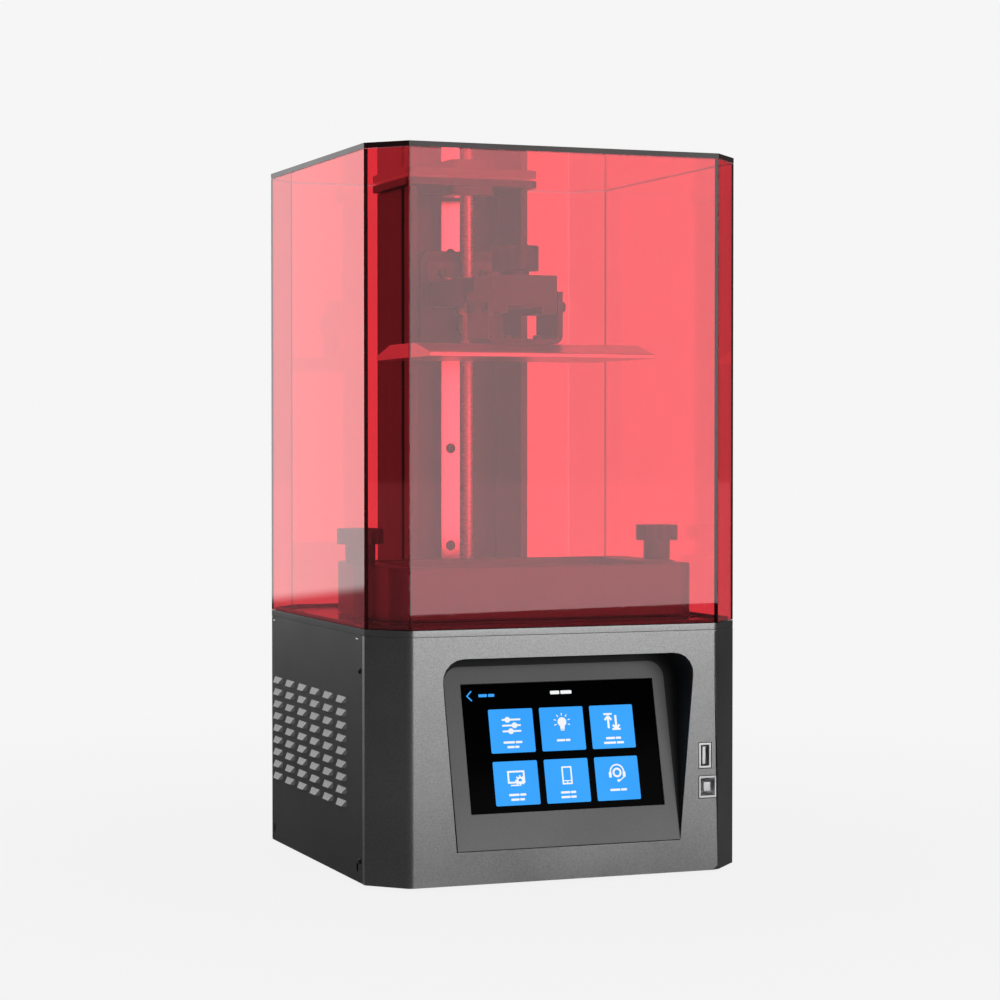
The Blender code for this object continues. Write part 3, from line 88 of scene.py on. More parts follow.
camera_data = bpy.data.cameras.new("camera")
camera_data.sensor_width = 36
camera_data.lens = 95.7
camera_data.clip_end = 50
camera = new_object("camera", camera_data)
camera.location = (-0.5555, -1.4594, 0.2436)
camera.rotation_euler = Vector((0.3572, 0.9338, -0.0225)).to_track_quat("-Z", "Y").to_euler()
bpy.context.scene.camera = camera
bpy.context.scene.view_settings.view_transform = "Standard"
print("lens", camera_data.lens, "mm")

# %% [markdown]
# ## Light
#
# Clear acrylic shows what stands round it. A white wall behind gives the cover its bright
# red, one long soft light in front lays a pale veil on the front pane, and the sides stay
# dark so that the bevelled corners read. The world does the wall: bright behind the
# machine, dark at the sides and in front.

# %% World with a bright back and dark sides
WALL_LIGHT = 0.92
SIDE_LIGHT = 0.05
TOP_LIGHT = 0.6
MIRRORED_WALL = 1.45  # the wall is this much brighter in a reflection
FLOOR_BOUNCE = 0.3
FLOOR_MIRRORED = 0.05

world = bpy.data.worlds.new("studio")
bpy.context.scene.world = world
world.use_nodes = True
wiring = world.node_tree
wiring.nodes.clear()


def add_node(tree, kind, **settings):
    """A node in this tree, with its settings."""
    node = tree.nodes.new(kind)
    for key, value in settings.items():
        setattr(node, key, value)
    return node


def link(source, output, target, socket):
    """Join an output of one node to an input of another."""
    source.id_data.links.new(source.outputs[output], target.inputs[socket])


def fill(node, values):
    """Set the values of a node's inputs."""
    for socket, value in values.items():
        node.inputs[socket].default_value = value


direction = add_node(wiring, "ShaderNodeTexCoord")
split = add_node(wiring, "ShaderNodeSeparateXYZ")
behind = add_node(wiring, "ShaderNodeMapRange", interpolation_type="SMOOTHSTEP")
above = add_node(wiring, "ShaderNodeMapRange", interpolation_type="SMOOTHSTEP")
brighter = add_node(wiring, "ShaderNodeMath", operation="MAXIMUM")
way = add_node(wiring, "ShaderNodeLightPath")
mirrored = add_node(wiring, "ShaderNodeMath", operation="SUBTRACT", use_clamp=True)
boost = add_node(wiring, "ShaderNodeMapRange")
boosted = add_node(wiring, "ShaderNodeMath", operation="MULTIPLY")
glow = add_node(wiring, "ShaderNodeBackground")
fill(glow, {"Color": (1, 1, 1, 1)})
world_out = add_node(wiring, "ShaderNodeOutputWorld")
link(direction, "Generated", split, 0)
link(split, "Y", behind, "Value")
link(split, "Z", above, "Value")
for ramp, (start, end, low, high) in (
    (behind, (0.55, 0.8, SIDE_LIGHT, WALL_LIGHT)),
    (above, (0.6, 0.95, 0.0, TOP_LIGHT)),
):
    fill(ramp, {"From Min": start, "From Max": end, "To Min": low, "To Max": high})
link(behind, 0, brighter, 0)
link(above, 0, brighter, 1)
link(way, "Is Glossy Ray", mirrored, 0)
link(way, "Is Transmission Ray", mirrored, 1)
link(mirrored, 0, boost, "Value")
fill(boost, {"To Min": 1.0, "To Max": MIRRORED_WALL})
link(brighter, 0, boosted, 0)
link(boost, 0, boosted, 1)
link(boosted, 0, glow, "Strength")
link(glow, 0, world_out, 0)


# %% Softboxes
def add_softbox(name, centre, aim, size, power, roll=0.0):
    """A rectangular lamp at centre, facing aim. size is width and height in metres."""
    lamp = bpy.data.lights.new(name, "AREA")
    lamp.shape = "RECTANGLE"
    lamp.size, lamp.size_y = size
    lamp.energy = power
    holder = new_object(name, lamp)
    holder.location = centre
    facing = (Vector(aim) - Vector(centre)).to_track_quat("-Z", "Y").to_matrix()
    holder.rotation_euler = (facing @ Matrix.Rotation(math.radians(roll), 3, "Z")).to_euler()
    return holder


add_softbox("front_softbox", (0.80, -2.05, 0.418), (0.05, -0.11, 0.418), (1.3, 0.8), 9.0, 2.4)
add_softbox("top_softbox", (-0.1, -0.1, 2.2), (0.0, 0.0, 0.2), (1.6, 1.6), 14.0)


# %% [markdown]
# ## Finishes
#
# Real finishes are never one flat colour. Three small node groups make what most of them
# share: a fine grain, a cloudy variation, and the lighter line that handling leaves along
# an edge. Each material places the groups with its own values.

# %% Node group: grain and clouds
def new_group(name, inputs, outputs):
    """An empty shader group with these float or vector sockets."""
    group = bpy.data.node_groups.new(name, "ShaderNodeTree")
    for socket, kind, value in inputs:
        made = group.interface.new_socket(socket, in_out="INPUT", socket_type=kind)
        if value is not None:
            made.default_value = value
    for socket, kind in outputs:
        group.interface.new_socket(socket, in_out="OUTPUT", socket_type=kind)
    return group, add_node(group, "NodeGroupInput"), add_node(group, "NodeGroupOutput")


FLOAT = "NodeSocketFloat"
VECTOR = "NodeSocketVector"

grain_group, given, result = new_group(
    "surface_grain",
    [("Vector", VECTOR, None), ("Grain Scale", FLOAT, 2000.0), ("Cloud Scale", FLOAT, 14.0)],
    [("Grain", FLOAT), ("Clouds", FLOAT)],
)
for output, scale, detail, low, high in (
    ("Grain", "Grain Scale", 2.0, 0.32, 0.68),
    ("Clouds", "Cloud Scale", 4.0, 0.3, 0.7),
):
    noise = add_node(grain_group, "ShaderNodeTexNoise")
    fill(noise, {"Detail": detail})
    spread = add_node(grain_group, "ShaderNodeMapRange")
    fill(spread, {"From Min": low, "From Max": high})
    link(given, "Vector", noise, "Vector")
    link(given, scale, noise, "Scale")
    link(noise, "Fac", spread, "Value")
    link(spread, 0, result, output)

# %% Node group: worn edges
wear_group, given, result = new_group(
    "edge_wear",
    [("Vector", VECTOR, None), ("Width", FLOAT, 0.0006), ("Break Up", FLOAT, 300.0)],
    [("Edge", FLOAT)],
)
rounded = add_node(wear_group, "ShaderNodeBevel", samples=4)
facing = add_node(wear_group, "ShaderNodeNewGeometry")
compare = add_node(wear_group, "ShaderNodeVectorMath", operation="DOT_PRODUCT")
sharpness = add_node(wear_group, "ShaderNodeMapRange")
patches = add_node(wear_group, "ShaderNodeTexNoise")
worn = add_node(wear_group, "ShaderNodeMath", operation="MULTIPLY")
fill(sharpness, {"From Min": 0.99, "From Max": 0.85})
link(given, "Width", rounded, "Radius")
link(rounded, 0, compare, 0)
link(facing, "True Normal", compare, 1)
link(compare, "Value", sharpness, "Value")
link(given, "Vector", patches, "Vector")
link(given, "Break Up", patches, "Scale")
link(sharpness, 0, worn, 0)
link(patches, "Fac", worn, 1)
link(worn, 0, result, "Edge")


# %% What every material starts with
def start_finish(name, grain, clouds, stretch=(1, 1, 1)):
    """A new material and its tree, shader, coordinates and grain texture."""
    finish = bpy.data.materials.new(name)
    finish.use_nodes = True
    tree = finish.node_tree
    place = add_node(tree, "ShaderNodeTexCoord")
    mapping = add_node(tree, "ShaderNodeMapping")
    fill(mapping, {"Scale": stretch})
    texture = add_node(tree, "ShaderNodeGroup", node_tree=grain_group)
    fill(texture, {"Grain Scale": grain, "Cloud Scale": clouds})
    link(place, "Object", mapping, "Vector")
    link(mapping, 0, texture, "Vector")
    return finish, tree, tree.nodes["Principled BSDF"], place, texture


def blend_colours(tree, first, second):
    """A node that mixes two colours."""
    mix = add_node(tree, "ShaderNodeMix", data_type="RGBA")
    fill(mix, {"A": (*first, 1), "B": (*second, 1)})
    return mix


def vary_gloss(tree, source, output, shader, roughness):
    """Let a texture drive the roughness between its lowest and its highest."""
    gloss = add_node(tree, "ShaderNodeMapRange")
    fill(gloss, {"To Min": roughness[0], "To Max": roughness[1]})
    link(source, output, gloss, "Value")
    link(gloss, 0, shader, "Roughness")


# %% A finish from the groups
def make_finish(name, dark, light, roughness, metallic=0.0, grain=2000.0, bump=0.1,
                stretch=(1, 1, 1), edge=None, ior=1.5):
    """An opaque finish: its colour wanders from dark to light with the grain and clouds.

    roughness is its lowest and highest. stretch pulls the grain out along an axis for a
    brushed metal. edge is the colour of worn edges, or None.
    """
    finish, tree, shader, place, texture = start_finish(name, grain, 14.0, stretch)
    fill(shader, {"Metallic": metallic, "IOR": ior})
    blend = add_node(tree, "ShaderNodeMath", operation="MULTIPLY_ADD")
    fill(blend, {1: 0.6})
    shade = add_node(tree, "ShaderNodeMath", operation="MULTIPLY")
    fill(shade, {1: 0.4})
    link(texture, "Clouds", shade, 0)
    link(texture, "Grain", blend, 0)
    link(shade, 0, blend, 2)
    colour = blend_colours(tree, dark, light)
    link(blend, 0, colour, "Factor")
    last = colour.outputs["Result"]
    if edge is not None:
        wear = add_node(tree, "ShaderNodeGroup", node_tree=wear_group)
        fill(wear, {"Width": 0.5 * MM})
        link(place, "Object", wear, "Vector")
        lift = add_node(tree, "ShaderNodeMix", data_type="RGBA")
        fill(lift, {"B": (*edge, 1)})
        link(wear, "Edge", lift, "Factor")
        tree.links.new(last, lift.inputs["A"])
        last = lift.outputs["Result"]
    tree.links.new(last, shader.inputs["Base Color"])
    vary_gloss(tree, texture, "Clouds", shader, roughness)
    if bump:
        relief = add_node(tree, "ShaderNodeBump")
        fill(relief, {"Strength": bump, "Distance": 0.05 * MM})
        link(texture, "Grain", relief, "Height")
        link(relief, 0, shader, "Normal")
    return finish


def grey(value):
    """A neutral colour of this brightness."""
    return (value, value, value * 1.01)


# %% The opaque finishes
OPAQUE = {
    # front_paint's light worn edges also stand in for the bright line along the top edge of the
    # base: partly wear, partly a painted highlight.
    "front_paint": (grey(0.3), grey(0.52), (0.32, 0.4),
        dict(metallic=1.0, grain=1500, bump=0.25, edge=grey(0.75))),
    # side_paint is a far darker grey than the coat on the front and on the louvres pressed from
    # the same side sheets: painted shade on the sides of the base.
    "side_paint": (grey(0.06), grey(0.09), (0.42, 0.52),
        dict(metallic=0.6, grain=1800, bump=0.25, edge=grey(0.16))),
    "deck_paint": (grey(0.25), grey(0.34), (0.16, 0.24),
        dict(metallic=0.9, grain=1800, bump=0.1, edge=grey(0.4))),
    "louvre_paint": (grey(0.3), grey(0.42), (0.34, 0.44),
        dict(metallic=0.3, grain=1800, bump=0.2, edge=grey(0.6))),
    "bezel_plastic": (grey(0.18), grey(0.22), (0.42, 0.5),
        dict(metallic=0.5, grain=1500, bump=0.15, edge=grey(0.25))),
    "column_alloy": (grey(0.05), grey(0.08), (0.34, 0.46),
        dict(metallic=0.6, grain=700, bump=0.12, stretch=(1, 1, 0.05), edge=grey(0.2))),
    "black_alloy": (grey(0.035), grey(0.055), (0.36, 0.48),
        dict(metallic=0.5, grain=2200, bump=0.15, edge=grey(0.18))),
    "vat_alloy": (grey(0.07), grey(0.11), (0.36, 0.46),
        dict(metallic=0.5, grain=2200, bump=0.15, edge=grey(0.3))),
    "plate_alloy": (grey(0.55), grey(0.75), (0.28, 0.42),
        dict(metallic=1.0, grain=900, bump=0.2, stretch=(0.05, 1, 1), edge=grey(0.9))),
    "bright_steel": (grey(0.62), grey(0.8), (0.16, 0.28),
        dict(metallic=1.0, grain=900, bump=0.08, stretch=(1, 1, 0.05), edge=grey(0.95))),
    "ground_steel": (grey(0.86), grey(0.97), (0.14, 0.22),
        dict(metallic=1.0, grain=900, bump=0.05, stretch=(1, 1, 0.05), edge=grey(0.98))),
    "rolled_steel": (grey(0.8), grey(0.95), (0.36, 0.46),
        dict(metallic=0.9, grain=1500, bump=0.08, edge=grey(0.98))),
    "white_metal": (grey(0.92), grey(0.98), (0.34, 0.4),
        dict(metallic=1.0, grain=1500, bump=0.05, edge=grey(0.95))),
    "motor_black": (grey(0.02), grey(0.035), (0.4, 0.5), dict(grain=1500, edge=grey(0.1))),
    "brass": ((0.5, 0.32, 0.1), (0.72, 0.5, 0.2), (0.24, 0.34),
        dict(metallic=1.0, grain=900, bump=0.1, stretch=(1, 1, 0.1))),
    "black_plastic": (grey(0.014), grey(0.028), (0.34, 0.46),
        dict(grain=1600, bump=0.2, edge=grey(0.08))),
    "rubber": (grey(0.012), grey(0.025), (0.75, 0.85), dict(grain=900, bump=0.4)),
    "circuit_board": ((0.005, 0.06, 0.03), (0.01, 0.11, 0.05), (0.35, 0.5),
        dict(grain=500, bump=0.2)),
    # A light grey for the sloped sill under the screen: a painted highlight.
    "reflector": (grey(0.7), grey(0.82), (0.4, 0.5), dict(grain=900)),
}
finishes = {name: make_finish(name, *looks, **more)
            for name, (*looks, more) in OPAQUE.items()}
print(len(finishes), "opaque finishes")


# %% [markdown]
# ### Acrylic, glass and film
#
# The cover is 3 mm cast acrylic. A ray of light that is on its way to a lamp can't bend
# through solid glass in Cycles, so the machine inside would stay black: where the ray is a
# shadow ray, the pane is plain tinted and lets it through. Everywhere else it is real
# refracting acrylic, so that panes mirror one another and thicken to a deep red.

# %% Clear finishes
def make_clear(name, tint, roughness, ior, scuff_scale=40.0):
    """Coloured clear plastic with faint scuffs, which lets lamps light what is behind it."""
    finish, tree, shader, _, texture = start_finish(name, scuff_scale * 8, scuff_scale)
    fill(shader, {"Transmission Weight": 1.0, "IOR": ior})
    colour = blend_colours(tree, tint, [channel * 0.97 for channel in tint])
    link(texture, "Clouds", colour, "Factor")
    link(colour, "Result", shader, "Base Color")
    vary_gloss(tree, texture, "Grain", shader, roughness)
    passing = add_node(tree, "ShaderNodeBsdfTransparent")
    fill(passing, {"Color": (*[math.sqrt(channel) for channel in tint], 1)})
    ray = add_node(tree, "ShaderNodeLightPath")
    mixed = add_node(tree, "ShaderNodeMixShader")
    link(ray, "Is Shadow Ray", mixed, "Fac")
    link(shader, 0, mixed, 1)
    link(passing, 0, mixed, 2)
    tree.links.new(mixed.outputs[0], tree.nodes["Material Output"].inputs["Surface"])
    return finish


finishes["red_acrylic"] = make_clear("red_acrylic", (0.97, 0.2, 0.24), (0.0, 0.02), 1.49)
finishes["clear_film"] = make_clear("clear_film", (0.92, 0.92, 0.93), (0.02, 0.08), 1.35)
finishes["acrylic_edge"] = make_finish("acrylic_edge", (0.02, 0.004, 0.005), (0.035, 0.006, 0.008),
                                       (0.2, 0.3), grain=1200, bump=0.1)
finishes["display_glass"] = make_finish("display_glass", grey(0.001), grey(0.002), (0.06, 0.1),
                                        grain=300, bump=0.0, ior=1.06)


# %% Light from the screen
def make_lit(name, low, high, strength):
    """A part of the picture on the screen: a colour that glows, a little uneven."""
    finish, tree, shader, _, texture = start_finish(name, 4000, 25)
    fill(shader, {"Roughness": 0.3, "Base Color": (0.01, 0.01, 0.01, 1), "IOR": 1.1,
                  "Emission Strength": strength})
    colour = blend_colours(tree, low, high)
    link(texture, "Clouds", colour, "Factor")
    link(colour, "Result", shader, "Emission Color")
    return finish


finishes["tile_blue"] = make_lit("tile_blue", (0.036, 0.36, 0.98), (0.044, 0.39, 1.0), 1.0)
finishes["icon_white"] = make_lit("icon_white", (0.88, 0.9, 0.92), (0.95, 0.96, 0.97), 1.0)

# %% Floor
bpy.ops.object.select_all(action="DESELECT")
bpy.ops.mesh.primitive_circle_add(vertices=96, radius=14, fill_type="NGON", location=(0, 0, 0))
floor = bpy.context.object
floor.name = "studio_floor"
floor_finish = bpy.data.materials.new("studio_floor")
floor_finish.use_nodes = True
tree = floor_finish.node_tree
tree.nodes.clear()
spread = add_node(tree, "ShaderNodeBsdfDiffuse")
fill(spread, {"Color": (0.8, 0.8, 0.8, 1)})
own = add_node(tree, "ShaderNodeEmission")
fill(own, {"Color": (1, 1, 1, 1)})
ray = add_node(tree, "ShaderNodeLightPath")
seen = add_node(tree, "ShaderNodeMath", operation="MAXIMUM")
place = add_node(tree, "ShaderNodeTexCoord")
axes = add_node(tree, "ShaderNodeSeparateXYZ")
sideways = add_node(tree, "ShaderNodeMath", operation="ABSOLUTE")
rearward = add_node(tree, "ShaderNodeMath", operation="SUBTRACT")
far = add_node(tree, "ShaderNodeMapRange", interpolation_type="SMOOTHSTEP")
fill(far, {"From Min": 1.56, "From Max": 1.8, "To Min": FLOOR_MIRRORED,
           "To Max": WALL_LIGHT * MIRRORED_WALL})
bounced = add_node(tree, "ShaderNodeMix", data_type="FLOAT")
fill(bounced, {"A": FLOOR_BOUNCE})
level = add_node(tree, "ShaderNodeMix", data_type="FLOAT")
fill(level, {"B": WALL_LIGHT})
link(place, "Object", axes, 0)
link(axes, "X", sideways, 0)
link(axes, "Y", rearward, 0)
link(sideways, 0, rearward, 1)
link(rearward, 0, far, "Value")
link(ray, "Is Camera Ray", seen, 0)
link(ray, "Is Transmission Ray", seen, 1)
link(ray, "Is Glossy Ray", bounced, "Factor")
link(far, 0, bounced, "B")
link(seen, 0, level, "Factor")
link(bounced, "Result", level, "A")
link(level, "Result", own, "Strength")
away = add_node(tree, "ShaderNodeMapRange", interpolation_type="SMOOTHSTEP")
fill(away, {"From Min": 0.15, "From Max": 0.9, "To Min": 0.94, "To Max": 1.0})
reach = add_node(tree, "ShaderNodeVectorMath", operation="LENGTH")
link(place, "Object", reach, 0)
link(reach, "Value", away, "Value")
both = add_node(tree, "ShaderNodeMixShader")
link(away, 0, both, "Fac")
link(spread, 0, both, 1)
link(own, 0, both, 2)
floor_out = add_node(tree, "ShaderNodeOutputMaterial")
link(both, 0, floor_out, "Surface")
floor.data.materials.append(floor_finish)

# %% [markdown]
# ## Ways of working
#
# Most pieces start as a copy of their CAD node. The copy is welded, its flat areas are
# made single faces again, and its edges get the small radius that a real edge has.

# %% Helpers for selecting and finishing
def pick(*pieces):
    """Select only these pieces, the first of them active."""
    if bpy.context.mode != "OBJECT":
        bpy.ops.object.mode_set(mode="OBJECT")
    bpy.ops.object.select_all(action="DESELECT")
    for piece in pieces:
        piece.select_set(True)
    bpy.context.view_layer.objects.active = pieces[0]


def edit(piece):
    """Go into edit mode on this piece, with nothing selected."""
    pick(piece)
    bpy.ops.object.mode_set(mode="EDIT")
    bpy.ops.mesh.select_all(action="DESELECT")


def done():
    """Leave edit mode."""
    bpy.ops.object.mode_set(mode="OBJECT")


def choose_all():
    """In edit mode, select everything."""
    bpy.ops.mesh.select_all(action="SELECT")


def extrude(x, y, z):
    """In edit mode, extrude what is selected by x, y and z."""
    bpy.ops.mesh.extrude_region_move(TRANSFORM_OT_translate={"value": (x, y, z)})


def choose_faces(piece, test):
    """In edit mode, select the faces whose centre and normal pass the test."""
    bpy.ops.mesh.select_mode(type="FACE")
    bpy.ops.mesh.select_all(action="DESELECT")
    shape = bmesh.from_edit_mesh(piece.data)
    for face in shape.faces:
        if test(face.calc_center_median(), face.normal):
            face.select_set(True)
    shape.select_flush_mode()
    bmesh.update_edit_mesh(piece.data)


def choose_edges(piece, test):
    """In edit mode, select the edges whose two ends pass the test."""
    bpy.ops.mesh.select_mode(type="EDGE")
    bpy.ops.mesh.select_all(action="DESELECT")
    shape = bmesh.from_edit_mesh(piece.data)
    for edge in shape.edges:
        if test(edge.verts[0].co, edge.verts[1].co):
            edge.select_set(True)
    bmesh.update_edit_mesh(piece.data)


def turn_outwards(piece):
    """Point all the faces of a closed piece outwards."""
    edit(piece)
    choose_all()
    bpy.ops.mesh.normals_make_consistent(inside=False)
    done()


def settle(piece):
    """Put the piece's place, turn and size into its mesh; its object sits at the origin."""
    pick(piece)
    bpy.ops.object.transform_apply(location=True, rotation=True, scale=True)
    return piece


def add_box(size, middle=(0, 0, 0)):
    """A cube stretched to this size."""
    pick(floor)
    bpy.ops.mesh.primitive_cube_add(size=1, location=middle)
    box = bpy.context.object
    box.scale = size
    return settle(box)


def apply_all(piece):
    """Apply every modifier in turn."""
    pick(piece)
    for modifier in list(piece.modifiers):
        bpy.ops.object.modifier_apply(modifier=modifier.name)
    return piece


def soften(piece, width, segments=2, angle=30):
    """Round the sharp edges, and let the flat faces keep their own normals."""
    bevel = piece.modifiers.new("rounded_edges", "BEVEL")
    bevel.width = width
    bevel.segments = segments
    bevel.limit_method = "ANGLE"
    bevel.angle_limit = math.radians(angle)
    bevel.use_clamp_overlap = True
    apply_all(piece)
    bpy.ops.object.shade_smooth_by_angle(angle=math.radians(40))
    even = piece.modifiers.new("even_normals", "WEIGHTED_NORMAL")
    even.keep_sharp = True
    return apply_all(piece)


def attach(piece, name, body, slot, finish=None):
    """Name the piece, give it its finish, or the slot's finish when no other is named, and let it
    ride on a body.
    """
    piece.name = name
    piece.data.name = name
    piece.data.materials.clear()
    piece.data.materials.append(finishes[finish or slot])
    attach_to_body(piece, body)
    return piece


def weld_copy(node):
    """A copy of a CAD node's mesh with its loose triangles welded and its flats made whole."""
    source = nodes[node]
    piece = new_object(node + "_copy", source.data.copy())
    edit(piece)
    bpy.ops.mesh.customdata_custom_splitnormals_clear()
    choose_all()
    bpy.ops.mesh.remove_doubles(threshold=0.001 * MM)
    bpy.ops.mesh.dissolve_limited(angle_limit=math.radians(0.5))
    done()
    return piece


body_of_node = {node: body for body, members in frame["record"]["behaviour"]["bodies"].items()
                for node in members}


def refine(node, width, segments=2, angle=30, finish=None, prepare=None):
    """Replace a CAD node with its own shape, with rounded edges. prepare works on it first."""
    piece = weld_copy(node)
    if prepare:
        prepare(piece)
    soften(piece, width, segments, angle)
    attach(piece, node + "_finished", body_of_node[node], slot_of_cad(node), finish)
    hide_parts(node)
    return piece


# %% Give every CAD node its finish
for node, cad in nodes.items():
    wanted = cad.data.materials[0].name.split(".")[0]
    cad.data.materials.clear()
    cad.data.materials.append(finishes[wanted])
    cad["finish"] = wanted
print(len(nodes), "CAD nodes have their finish")


def slot_of_cad(node):
    """The material slot that the CAD node carries."""
    return nodes[node]["finish"]


# %% [markdown]
# ## Base shell
#
# The base is bent sheet steel with a powder coat. Its front wraps round both corners, the
# side panels sit just behind them, and a flat deck closes the top. The shapes are those of
# the CAD nodes, so each is a rounded copy. What the copies lack is what makes them sheet
# metal: pressed louvres, hooking slots and the screws along the seams.

# %% Shell panels with rounded edges
BEND = 2.6 * MM  # from the sharp corner to where the bend in the sheet begins
FRONT_HALF = 91.5 * MM  # from the middle of the front to each bend
LIP = 1.9 * MM


def round_bends(piece):
    """Give the two front corners the radius of a bend in sheet steel."""
    edit(piece)
    choose_edges(piece, lambda a, b: abs(a.x - b.x) + abs(a.y - b.y) < 0.01 * MM
                 and a.y < cad_box[0][1] + 0.1 * MM and abs(abs(a.x) - FRONT_HALF) < 0.1 * MM)
    bpy.ops.mesh.bevel(offset=BEND, segments=5, affect="EDGES")
    done()


def shape_housing(piece):
    """Slope the edge of the sill under the screen, and round the bends."""
    front = cad_box[0][1] + 0.1 * MM
    edit(piece)
    choose_edges(piece, lambda a, b: a.y < front and b.y < front
                 and abs(a.z - b.z) < 0.1 * MM and 15 * MM < a.z < 25 * MM
                 and abs(a.x - b.x) > 80 * MM)
    bpy.ops.mesh.bevel(offset=LIP, segments=1, affect="EDGES")
    done()
    round_bends(piece)


def lower_deck(piece):
    """Bring the deck's underside closer to the housing, so that the seam is a fine line."""
    edit(piece)
    choose_faces(piece, lambda centre, normal: normal.z < -0.9)
    bpy.ops.transform.translate(value=(0, 0, -0.18 * MM))
    done()
    round_bends(piece)


for node, radius, prepare in (("front_housing", 0.5, shape_housing), ("rear_panel", 0.4, None),
                              ("top_deck", 0.3, lower_deck), ("bottom_plate", 0.3, None),
                              ("screen_bezel", 0.35, None)):
    panel = refine(node, radius * MM, prepare=prepare)
    print(panel.name, len(panel.data.polygons), "faces")
    if node == "top_deck":
        panel.data.materials.append(finishes["front_paint"])
        panel.data.materials.append(finishes["side_paint"])
        # The deck is one sheet, yet its edges facing the sides take the dark side_paint: painted
        # shade, as on the side panels. Its edges facing front and back keep the front's grey.
        for face in panel.data.polygons:
            outside = abs(face.normal.z) < 0.3 and face.center.to_2d().length > 95 * MM
            if outside:
                face.material_index = 1 if abs(face.normal.y) > 0.6 else 2
    if node == "front_housing":
        # The sloped faces of the sill under the screen get a light grey: a painted highlight where
        # the slope faces up towards the top light.
        panel.data.materials.append(finishes["reflector"])
        for face in panel.data.polygons:
            if (face.normal.z > 0.5 and face.normal.y < -0.5
                    and abs(face.center.z - 19 * MM) < 2 * MM):
                face.material_index = 1
    if node == "screen_bezel":
        # Every face of the screen bezel, the walls of the recess round the display, is black:
        # painted shade in the recess.
        panel.data.materials.append(finishes["black_plastic"])
        for face in panel.data.polygons:
            face.material_index = 1
for number in range(1, 5):
    refine(f"foot_{number}", 0.4 * MM)


# %% [markdown]
# ### Louvres
#
# A louvre is pressed out of the panel: a short roof that slopes out and down, with a
# triangular tab folded back to the panel at its front end, over the slot that was cut
# first. One is made at the origin from a box. It is copied to each slot of the panel.

# %% One louvre
LOUVRE_PROUD = 2.0 * MM
LOUVRE_TALL = 4.4 * MM
LOUVRE_LONG = 16.4 * MM
TAB_LONG = 5.0 * MM

louvre = add_box((LOUVRE_PROUD, LOUVRE_LONG, LOUVRE_TALL))
edit(louvre)
choose_faces(louvre, lambda centre, normal: normal.x > 0.9 or normal.z < -0.9)
bpy.ops.mesh.delete(type="FACE")
choose_edges(louvre, lambda a, b: a.x < 0 and b.x < 0 and a.z > 0 and b.z > 0)
bpy.ops.transform.translate(value=(LOUVRE_PROUD, 0, 0))
choose_all()
bpy.ops.mesh.remove_doubles(threshold=0.01 * MM)
choose_edges(louvre, lambda a, b: a.x < 0 and b.x < 0 and a.z < 0 and b.z < 0)
bpy.ops.transform.resize(value=(1, 1 - (TAB_LONG + 1 * MM) / LOUVRE_LONG, 1))
bpy.ops.transform.translate(value=(0, (TAB_LONG - 1 * MM) / 2, 0))
choose_faces(louvre, lambda centre, normal: normal.y < -0.1)
bpy.ops.mesh.inset(thickness=0.55 * MM)
done()
louvre.data.materials.append(finishes["louvre_paint"])
louvre.data.materials.append(finishes["black_plastic"])
louvre.data.materials.append(finishes["side_paint"])
# The middle of each end tab is black: painted shade of the dark opening under the roof. Its inset
# rim takes side_paint.
for face in louvre.data.polygons:
    if face.normal.y < -0.1:
        face.material_index = 1 if face.area > 1.2 * MM * MM else 2
sheet = louvre.modifiers.new("sheet", "SOLIDIFY")
sheet.thickness = 0.45 * MM
sheet.offset = -1
apply_all(louvre)
bpy.ops.object.shade_flat()
print("one louvre:", len(louvre.data.polygons), "faces")


# %% A louvre over every slot
def copy_to(master, places, flip_x=False):
    """Copies of a piece at these places, joined as one; flip_x mirrors each first."""
    copies = []
    for place in places:
        one = new_object(master.name + "_copy", master.data.copy())
        one.location = place
        if flip_x:
            one.scale.x = -1
        copies.append(one)
    pick(*copies)
    bpy.ops.object.transform_apply(location=True, rotation=True, scale=True)
    if flip_x:
        bpy.ops.object.mode_set(mode="EDIT")
        choose_all()
        bpy.ops.mesh.flip_normals()
        done()
    pick(*copies)
    if len(copies) > 1:
        bpy.ops.object.join()
    return bpy.context.object


def discard(piece):
    """Remove a master once its copies are made."""
    bpy.data.objects.remove(piece, do_unlink=True)


panel_low, panel_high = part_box("side_panel_left")
first_y = cad_box[0][1] + 60.3 * MM
louvre_places = [(first_y + column * 25.1 * MM, 42.5 * MM + row * 7.2 * MM)
                 for row in range(9) for column in range(6)]
for side, name in ((-1, "left"), (1, "right")):
    x = side * (cad_box[1][0] + LOUVRE_PROUD / 2 - 0.45 * MM)
    louvres = copy_to(louvre, [(x, y, z) for y, z in louvre_places], flip_x=side > 0)
    kept = list(louvres.data.materials)
    attach(louvres, f"louvres_{name}", "base", "side_paint", "louvre_paint")
    for finish in kept[1:]:
        louvres.data.materials.append(finish)
    refine(f"side_panel_{name}", 0.25 * MM)
discard(louvre)
print(len(louvre_places), "louvres a side")

# %% [markdown]
# ### Screws and slots in the shell
#
# Small countersunk screws hold the side panels along their front seams, and the panels
# hang on hooks whose slots show near the top corners and the floor. A screw head is a
# short round bar with a socket pressed into its face.

